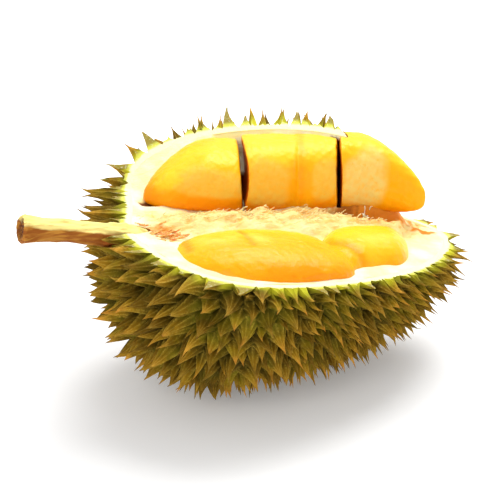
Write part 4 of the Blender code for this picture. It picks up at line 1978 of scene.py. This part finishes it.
@dataclass
class PithTissue:
    """The cream tissue: a smooth band along the cuts and a torn, fibrous core between the pods."""

    axes: FruitAxes
    body: BodyForm
    opening: Opening
    inset: float = 0.00455
    core_centre: Point = (0.002, 0.004, -0.004)
    core_half: Point = (0.110, 0.020, 0.0140)
    pitch: float = 0.0008
    fibre_depth: float = 0.0010
    finish: PithFinish = field(default_factory=PithFinish)
    stains_and_shade: tuple[SoftSpot, ...] = (
        SoftSpot(0.104, 0.000, 0.0115, 0.0036),
        SoftSpot(-0.0926, -0.0155, 0.0028, 0.0022, 0.8),
        SoftSpot(-0.089, -0.009, 0.0028, 0.0022),
        SoftSpot(-0.098, -0.002, 0.0110, 0.0022, 0.75, -0.25),
        SoftSpot(-0.072, 0.004, 0.0060, 0.0018, 0.35),
        # painted shade: the orange-brown hollow under the far rear pod; the other spots are orange marks of
        # flesh and torn tissue
        SoftSpot(0.074, 0.0180, 0.0360, 0.0150, 0.92),
    )
    # painted shade in the gaps under the rear pods
    painted_shades: tuple[SoftSpot, ...] = (
        SoftSpot(-0.017, 0.0190, 0.0150, 0.0036, 0.95),
        SoftSpot(0.050, 0.0180, 0.0100, 0.0040, 0.6),
        SoftSpot(-0.0850, 0.0450, 0.0070, 0.0045, 0.95),
    )
    dents: tuple[Dent, ...] = (
        Dent(0.0740, 0.0130, 0.0340, 0.0075, 0.0065),
        Dent(-0.0160, 0.0180, 0.0150, 0.0045, 0.0045),
        Dent(0.0160, 0.0190, 0.0150, 0.0080, -0.0030),
        Dent(-0.0850, 0.0450, 0.0070, 0.0050, 0.0030),
    )

    def slab(self) -> Piece:
        """The cut tissue's upper face over a flat underside, before it is trimmed to the body.

        Returns:
            The closed slab in the fruit's own axes.
        """
        xs = np.arange(-0.1184, 0.1185, self.pitch)
        ys = np.arange(-0.0888, 0.0889, self.pitch)
        x, y = np.meshgrid(xs, ys, indexing="ij")
        top = self.opening.height(x, y, self.body)
        cx, cy, cz = self.core_centre
        hx, hy, hz = self.core_half
        swell = 1.0 - ((x - cx) / hx) ** 2 - ((y - cy) / hy) ** 2
        ridge = np.where(swell > 0, cz + hz * np.sqrt(np.maximum(swell, 0.0)), -1.0)
        top = np.maximum(top, ridge)
        for dent in self.dents:
            top -= dent.depth * dent.share(x, y)
        top = self.blurred(top)
        flat = np.stack([x.ravel() * 0.40, y.ravel(), np.zeros(x.size)], axis=1)
        core = self.core_share(x, y).ravel()
        torn = 0.7 * ripple(flat, 0.0060, 51, 22) + 0.5 * ripple(flat, 0.0026, 52, 22)
        lumps = ripple(np.stack([x.ravel(), y.ravel(), np.zeros(x.size)], axis=1), 0.016, 53)
        height = top.ravel() + core * (self.fibre_depth * torn + 0.0014 * lumps) + 0.00022 * lumps
        points = np.stack([x.ravel(), y.ravel(), height], axis=1)
        rows, columns = x.shape
        index = np.arange(x.size).reshape(rows, columns)
        faces = np.stack(
            [index[:-1, :-1], index[1:, :-1], index[1:, 1:], index[:-1, 1:]], axis=-1
        ).reshape(-1, 4).tolist()
        rim = np.r_[index[:-1, 0], index[-1, :-1], index[:0:-1, -1], index[0, :0:-1]]
        under = points[rim] * (1, 1, 0) + (0, 0, -0.1)
        first = len(points)
        count = len(rim)
        for k in range(count):
            after = (k + 1) % count
            faces.append((int(rim[after]), int(rim[k]), first + k, first + after))
        faces.append(tuple(range(first + count - 1, first - 1, -1)))
        return outward(mesh_object("cream_pith", np.vstack([points, under]), faces))

    def core_share(self, x: Array, y: Array) -> Array:
        """Where the tissue is torn: along the core, fading to the smooth band."""
        across = np.exp(-(((y - 0.006) / 0.021) ** 4))
        return across * smooth_step(x, -0.108, -0.088) * (1.0 - smooth_step(x, 0.090, 0.108))

    def blurred(self, heights: Array, spread: float = 1.3, reach: int = 4) -> Array:
        """Softens steps in a grid of heights.

        Args:
            heights: The grid.
            spread: Softness, in grid steps.
            reach: How far it looks, in grid steps.

        Returns:
            The softened grid.
        """
        weights = np.exp(-0.5 * (np.arange(-reach, reach + 1) / spread) ** 2)
        weights /= weights.sum()
        for axis in (0, 1):
            padded = np.pad(heights, [(reach, reach) if a == axis else (0, 0) for a in (0, 1)], mode="edge")
            size = heights.shape[axis]
            heights = sum(
                weight * np.take(padded, range(first, first + size), axis=axis)
                for first, weight in enumerate(weights)
            )
        return heights

    def make(
        self, flesh: Sequence[Piece], stem_hole: Piece, strands: "TornStrands"
    ) -> Piece:
        """Builds the pith, and the strands on it.

        Args:
            flesh: The bodies of flesh that lie in it.
            stem_hole: What the stalk takes out of it.
            strands: The loose fibres that it carries.

        Returns:
            The finished piece.
        """
        piece = self.slab()
        combine(piece, BodyForm(inset=self.inset).solid("pith_body"), Operation.KEEP)
        for lobe in flesh:
            combine(piece, linked("room", lobe.data.copy()), Operation.CUT)
        for crack in CRACKS:
            slot = crack.solid(crack.name, segments=40)
            combine(slot, crack.room(), Operation.KEEP)
            combine(piece, slot, Operation.CUT)
        combine(piece, stem_hole, Operation.CUT)
        mesh = piece.data
        points = coordinates(mesh)
        paint(mesh, "core", self.core_share(points[:, 0], points[:, 1]))
        # orange-stained spots, and painted orange-brown shade under the far rear pod
        paint(mesh, "stain_and_shade", np.max([s.share(points) for s in self.stains_and_shade], axis=0))
        painted_shades = [s.share(points) for s in self.painted_shades]
        # painted shade down the slots of the cracks between the rear pods
        for crack in CRACKS:
            lean = end_slant(points, crack.leans[0], crack.uprights[0])
            apart = np.abs(points[:, 0] - lean - crack.centre[0])
            sunk = self.opening.height(points[:, 0], points[:, 1], self.body) - points[:, 2]
            inside = smooth_step(points[:, 1], 0.018, 0.024) * smooth_step(sunk, 0.0010, 0.0025)
            inside *= 1.0 - smooth_step(points[:, 1], 0.057, 0.061)
            painted_shades.append((1.0 - smooth_step(apart, 0.0055, 0.0075)) * inside)
        paint(mesh, "painted_shade", np.max(painted_shades, axis=0))
        # the dented hollows, which the finish paints with shade
        pits = [dent.share(points[:, 0], points[:, 1]) for dent in self.dents if dent.depth > 0]
        paint(mesh, "pit", np.max(pits, axis=0))
        coat(mesh, [self.finish.make()], sharp_from=50)
        strands.make(piece)
        self.axes.place(piece)
        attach(piece, BODY)
        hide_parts("pith")
        LOG.info("%s: %d faces", piece.name, len(mesh.polygons))
        return piece


# ---- torn strands


class StrandTree(GroupBench):
    """The rule that scatters short tapered strands over a surface."""

    SIZES = ("Density", "Length", "Width", "Curl", "Spread")
    CURL_SCALE = 260.0

    def __init__(self) -> None:
        """Builds the group with named inputs for its sizes."""
        sizes = [(name, "Float") for name in self.SIZES]
        others = [("Along", "Vector"), ("Seed", "Int"), ("Fibre", "Material")]
        super().__init__("torn_strands", sizes + others)
        self.lay()

    def between(self, low: object, high: object, seed: int, kind: str = "FLOAT") -> Socket:
        """A random value for each strand.

        Args:
            low: Its least value.
            high: Its greatest value.
            seed: What tells it from the others.
            kind: FLOAT or FLOAT_VECTOR.

        Returns:
            The field.
        """
        node = self.put("FunctionNodeRandomValue", data_type=kind)
        ends = [s for s in node.inputs if s.enabled and s.name in ("Min", "Max")]
        for socket, value in zip(ends, (low, high)):
            socket.default_value = value
        next(s for s in node.inputs if s.enabled and s.name == "Seed").default_value = seed
        return next(s for s in node.outputs if s.enabled)

    def strand(self) -> Socket:
        """One straight tapered strand of unit length along X.

        Returns:
            The socket that gives it.
        """
        line = self.put("GeometryNodeCurvePrimitiveLine", {"Start": (0.0, 0.0, 0.0), "End": (1.0, 0.0, 0.0)})
        steps = self.put("GeometryNodeResampleCurve", {"Curve": line.outputs[0], "Count": 6})
        share = self.put("GeometryNodeSplineParameter").outputs[0]
        taper = self.sum("SUBTRACT", 1.0, self.times(share, share))
        shaped = self.put(
            "GeometryNodeSetCurveRadius",
            {"Curve": steps.outputs[0], "Radius": self.sum("MAXIMUM", taper, 0.12)},
        )
        ring = self.put("GeometryNodeCurvePrimitiveCircle", {"Resolution": 4, "Radius": 1.0})
        tube = self.put(
            "GeometryNodeCurveToMesh",
            {"Curve": shaped.outputs[0], "Profile Curve": ring.outputs[0], "Fill Caps": True},
        )
        return tube.outputs[0]

    def lay(self) -> None:
        """Lays the nodes."""
        given = self.put("NodeGroupInput").outputs
        density = self.times(self.stored("strand"), given["Density"])
        roots = self.put(
            "GeometryNodeDistributePointsOnFaces",
            {"Mesh": given["Geometry"], "Density": density, "Seed": given["Seed"]},
        )
        spread = self.scaled(self.between((-1, -1, -1), (1, 1, 1), 3, "FLOAT_VECTOR"), given["Spread"])
        aim = self.vector("ADD", given["Along"], spread)
        turned = self.put("FunctionNodeAlignEulerToVector", {"Vector": aim}, axis="X")
        length = self.times(given["Length"], self.between(0.45, 1.25, 5))
        width = self.times(given["Width"], self.between(0.5, 1.4, 6))
        size = self.put("ShaderNodeCombineXYZ", {0: length, 1: width, 2: width}).outputs[0]
        planted = self.put(
            "GeometryNodeInstanceOnPoints",
            {
                "Points": roots.outputs[0],
                "Instance": self.strand(),
                "Rotation": turned.outputs[0],
                "Scale": size,
            },
        )
        real = self.put("GeometryNodeRealizeInstances", {"Geometry": planted.outputs[0]})
        offset = self.shaken(self.CURL_SCALE, given["Curl"])
        curled = self.put("GeometryNodeSetPosition", {"Geometry": real.outputs[0], "Offset": offset})
        smooth = self.put("GeometryNodeSetShadeSmooth", {"Geometry": curled.outputs[0], "Shade Smooth": True})
        self.close(smooth.outputs[0], given["Fibre"])


@dataclass(frozen=True)
class StrandPatch:
    """One patch of torn strands: where it grows and how it lies."""

    name: str
    spots: tuple[SoftSpot, ...]
    number: int
    length: float
    width: float
    along: Point
    spread: float
    curl: float
    light: Colour
    dark: Colour


@dataclass
class TornStrands:
    """The loose fibres where pods and stalk tore away from the pith."""

    axes: FruitAxes
    patches: tuple[StrandPatch, ...]

    def grow(self, ground: Piece, patch: StrandPatch, seed: int) -> Piece:
        """Grows one patch.

        Args:
            ground: The pith, in the fruit's own axes.
            patch: The patch.
            seed: What tells its places from the other patches'.

        Returns:
            The finished piece.
        """
        piece = linked(patch.name, ground.data.copy())
        mesh = piece.data
        points, normals = coordinates(mesh), point_normals(mesh)
        share = np.max([spot.share(points) for spot in patch.spots], axis=0)
        share *= smooth_step(normals[:, 2], 0.10, 0.50) * (points[:, 2] > -0.020)
        paint(mesh, "strand", share)
        first = read(mesh.polygons, "loop_start", np.int32)
        corner = read(mesh.loops, "vertex_index", np.int32)
        area = float((read(mesh.polygons, "area") * share[corner[first]]).sum())
        values = {
            "Density": patch.number / max(area, 1e-6),
            "Length": patch.length,
            "Width": patch.width,
            "Curl": patch.curl,
            "Spread": patch.spread,
            "Along": patch.along,
            "Seed": seed,
            "Fibre": StrandFinish("fibre_of_" + patch.name, patch.light, patch.dark).make(),
        }
        StrandTree().run(piece, values)
        self.axes.place(piece)
        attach(piece, BODY)
        LOG.info("%s: %d faces", piece.name, len(piece.data.polygons))
        return piece

    def make(self, ground: Piece) -> list[Piece]:
        """Grows every patch on the pith, which is still in the fruit's own axes."""
        return [self.grow(ground, patch, 11 + number) for number, patch in enumerate(self.patches)]


def durian_strands() -> tuple[StrandPatch, ...]:
    """The patches of torn strands on this fruit.

    Returns:
        The patches.
    """
    return (
        StrandPatch(
            name="torn_core_fibres",
            spots=(SoftSpot(-0.010, 0.008, 0.0900, 0.0130),),
            number=420,
            length=0.0060,
            width=0.00026,
            along=(1.0, 0.1, 0.18),
            spread=0.40,
            curl=0.0030,
            light=(0.930, 0.760, 0.360),
            dark=(0.820, 0.470, 0.110),
        ),
        StrandPatch(
            name="torn_root_fibres",
            spots=(
                SoftSpot(-0.098, -0.012, 0.0130, 0.0075, 1.0, -0.5),
                SoftSpot(-0.108, 0.002, 0.0050, 0.0060),
            ),
            number=90,
            length=0.0070,
            width=0.00042,
            along=(0.95, -0.25, 0.18),
            spread=0.35,
            curl=0.0030,
            light=(0.930, 0.480, 0.120),
            dark=(0.700, 0.200, 0.035),
        ),
        StrandPatch(
            name="torn_white_flecks",
            spots=(SoftSpot(0.064, 0.0130, 0.0090, 0.0050),),
            number=46,
            length=0.0062,
            width=0.00060,
            along=(0.15, -0.10, 1.0),
            spread=0.55,
            curl=0.0040,
            light=(0.990, 0.950, 0.800),
            dark=(0.960, 0.800, 0.420),
        ),
    )


# ---- stem


@dataclass
class Stem:
    """The stalk: swollen where it joins the fruit, slim in the middle, flared where it was cut.

    collar is the stretch from the root where the lumps fade. Each of the furrows has a depth,
    a pitch and a seed. Each ring of the cut end has its share of the radius and how far it sinks.
    """

    axes: FruitAxes
    root: Point = (-0.1000, -0.0030, -0.0075)
    join: Point = (-0.1240, -0.0020, -0.0050)
    end: Point = (-0.1860, -0.0020, -0.0010)
    radius: float = 0.0081
    end_radius: float = 0.0098
    lump_depth: float = 0.0014
    collar: tuple[float, float] = (0.018, 0.040)
    furrows: tuple[tuple[float, float, int], ...] = ((0.00045, 0.0035, 31), (0.0005, 0.012, 32))
    end_rings: tuple[tuple[float, float], ...] = (
        (0.86, 0.0004),
        (0.66, 0.0016),
        (0.42, 0.0022),
        (0.2, 0.0019),
    )
    end_roughness: float = 0.0006
    finish: BarkFinish = field(default_factory=BarkFinish)

    def stations(self) -> list[tuple[Vector, float]]:
        """Centres and radii along the stalk, from the root to the cut end.

        Returns:
            A centre and a radius for each.
        """
        root, join, end = Vector(self.root), Vector(self.join), Vector(self.end)
        return [
            (root, 0.0060),
            (root.lerp(join, 0.5), 0.0092),
            (join, 0.0098),
            (join.lerp(end, 0.16), 0.0084),
            (join.lerp(end, 0.40), self.radius),
            (join.lerp(end, 0.75), self.radius),
            (join.lerp(end, 0.92), self.end_radius - 0.0006),
            (end - (end - join).normalized() * 0.0015, self.end_radius),
            (end, self.end_radius - 0.0012),
        ]

    def ring(self, turn: Array) -> Array:
        """Directions across the stalk at these angles round it, one a row.

        Args:
            turn: The angles, in radians.

        Returns:
            The unit directions.
        """
        along = (Vector(self.end) - Vector(self.root)).normalized()
        side = along.cross(Vector((0, 0, 1))).normalized()
        up = side.cross(along)
        return np.cos(turn)[:, None] * np.array(side) + np.sin(turn)[:, None] * np.array(up)

    def hole(self, grow: float = 0.0004, segments: int = 20) -> Piece:
        """The room that the stalk takes in its neighbours, a little wider than it.

        Args:
            grow: How much wider.
            segments: Vertices in a ring.

        Returns:
            The object.
        """
        turn = full_turn(segments)
        ring = self.ring(turn)
        points = np.vstack([np.array(c) + ring * (r + grow) for c, r in self.stations()])
        return outward(mesh_object("stem_hole", points, flat_tube_faces(len(self.stations()), segments)))

    def furrow(self, at: float, turn: Array) -> Array:
        """How far the bark sinks round one ring.

        Args:
            at: The ring's distance from the root.
            turn: The angles of its vertices.

        Returns:
            Distances of 0 or less.
        """
        around = [np.full(len(turn), at * 0.22), np.cos(turn) * 0.008, np.sin(turn) * 0.008]
        place = np.stack(around, axis=1)
        lumpy = self.lump_depth * (1.0 - float(smooth_step(np.array(at), *self.collar)))
        sunk = lumpy * (ripple(place * (4.5, 1, 1), 0.0075, 34) - 1.0)
        for depth, pitch, seed in self.furrows:
            sunk = sunk + depth * (ripple(place, pitch, seed) - 1.0)
        return np.minimum(sunk, 0.0)

    def make(self, segments: int = 72, steps: int = 150) -> Piece:
        """Builds the stalk.

        Args:
            segments: Vertices in a ring.
            steps: Rings along it.

        Returns:
            The finished piece.
        """
        centres = np.array([tuple(c) for c, _ in self.stations()])
        radii = np.array([r for _, r in self.stations()])
        travel = np.r_[0, np.cumsum(np.linalg.norm(np.diff(centres, axis=0), axis=1))]
        at = np.linspace(0, travel[-1], steps)
        centre = np.stack([np.interp(at, travel, centres[:, i]) for i in range(3)], axis=1)
        radius = np.interp(at, travel, radii)
        turn = full_turn(segments)
        ring = self.ring(turn)
        points, upper, inner = [], [], []
        for index in range(steps):
            wide = radius[index] + self.furrow(at[index], turn)
            points.append(centre[index] + ring * wide[:, None])
            upper.append(np.sin(turn))
            inner.append(np.zeros(segments))
        for share, sink in self.end_rings:
            across = [np.cos(turn) * share, np.sin(turn) * share, np.full(segments, 0.3)]
            rough = self.end_roughness * ripple(np.stack(across, axis=1) * 0.009, 0.003, 33)
            back = centre[-1] + (centre[0] - centre[-1]) / travel[-1] * sink
            along = unit((centre[0] - centre[-1])[None, :])
            points.append(back + ring * (radius[-1] * share) + along * np.maximum(rough, -0.0003)[:, None])
            upper.append(np.sin(turn))
            inner.append(np.full(segments, 1.0 - smooth_step(np.array(share), 0.5, 0.9)))
        faces = flat_tube_faces(len(points), segments)
        piece = outward(mesh_object("cut_stem", np.vstack(points), faces))
        mesh = piece.data
        along = np.repeat(np.r_[at, np.full(len(self.end_rings), at[-1])], segments)
        # how far each point faces up, where the finish paints the pale highlight
        paint(mesh, "upper", np.concatenate(upper) * 0.5 + 0.5)
        paint(mesh, "cut_end", np.concatenate(inner))
        knob = 1.0 - smooth_step(along, 0.020, 0.040)
        paint(mesh, "lump", knob * (1.0 - smooth_step(np.concatenate(upper), 0.0, 0.7)))
        coat(mesh, [self.finish.make()], sharp_from=50)
        self.axes.place(piece)
        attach(piece, BODY)
        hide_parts("stem")
        LOG.info("%s: %d faces", piece.name, len(mesh.polygons))
        return piece


# ---- studio


@dataclass
class Studio:
    """The floor, the lights and the camera."""

    axes: FruitAxes
    azimuth: float = math.radians(26.0)
    elevation: float = math.radians(20.0)
    distance: float = 0.95
    lens: float = 102.5
    shift: tuple[float, float] = (-0.0816, -0.040)
    sky: float = 0.62
    key_place: Point = (0.38, 0.26, 1.12)
    key_power: float = 15.0
    key_size: float = 0.9
    front_place: Point = (-0.9, -1.0, 0.9)
    front_power: float = 6.5
    front_size: float = 0.7
    floor_half: float = 6.0
    sensor: float = 36.0

    def floor(self) -> Piece:
        """Lays a pale floor under the fruit.

        Returns:
            The floor.
        """
        half = self.floor_half
        corners = [(x * half, y * half, 0.0) for x, y in ((-1, -1), (1, -1), (1, 1), (-1, 1))]
        piece = mesh_object("pale_floor", corners, [(0, 1, 2, 3)])
        piece.data.materials.append(FloorFinish().make())
        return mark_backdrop(piece) or piece

    def lamp(self, name: str, place: Point, power: float, size: float, aim: Vector) -> None:
        """Hangs a square soft light.

        Args:
            name: Its name.
            place: Where it hangs.
            power: Its power in watts.
            size: Its side.
            aim: The point that it faces.
        """
        data = bpy.data.lights.new(name, "AREA")
        data.energy = power
        data.size = size
        lamp = bpy.data.objects.new(name, data)
        lamp.location = place
        lamp.rotation_euler = (aim - Vector(place)).to_track_quat("-Z", "Y").to_euler()
        bpy.context.scene.collection.objects.link(lamp)

    def make(self) -> None:
        """Sets up the floor, lights, sky and camera."""
        self.floor()
        centre = self.axes.matrix().translation
        self.lamp("key_light", self.key_place, self.key_power, self.key_size, centre)
        self.lamp("front_light", self.front_place, self.front_power, self.front_size, centre)
        world = bpy.data.worlds.new("soft_sky")
        world.use_nodes = True
        world.node_tree.nodes["Background"].inputs[0].default_value = (1.0, 1.0, 1.0, 1.0)
        world.node_tree.nodes["Background"].inputs[1].default_value = self.sky
        bpy.context.scene.world = world
        bpy.context.scene.view_settings.view_transform = "Standard"
        back = Vector(
            (
                -math.sin(self.azimuth) * math.cos(self.elevation),
                -math.cos(self.azimuth) * math.cos(self.elevation),
                math.sin(self.elevation),
            )
        )
        data = bpy.data.cameras.new("studio_camera")
        data.lens = self.lens
        data.sensor_width = self.sensor
        data.shift_x, data.shift_y = self.shift
        camera = bpy.data.objects.new("studio_camera", data)
        camera.location = centre + back * self.distance
        camera.rotation_euler = back.to_track_quat("Z", "Y").to_euler()
        bpy.context.scene.collection.objects.link(camera)
        bpy.context.scene.camera = camera


def main() -> None:
    """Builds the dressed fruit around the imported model."""
    logging.basicConfig(level=logging.INFO, format="%(name)s: %(message)s")
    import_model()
    cad_low, cad_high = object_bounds()
    axes = FruitAxes(base=((cad_low.x + cad_high.x) / 2, (cad_low.y + cad_high.y) / 2, cad_low.z))
    body = BodyForm()
    opening = Opening()
    stem = Stem(axes)
    pods = FleshPods(axes, durian_lobes())
    SpinyHusk(axes, body, opening, stem.hole).make()
    flesh = pods.make()
    PithTissue(axes, body, opening).make(flesh, stem.hole(), TornStrands(axes, durian_strands()))
    pods.finish(flesh)
    stem.make()
    Studio(axes).make()
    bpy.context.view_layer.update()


if __name__ == "__main__":
    main()
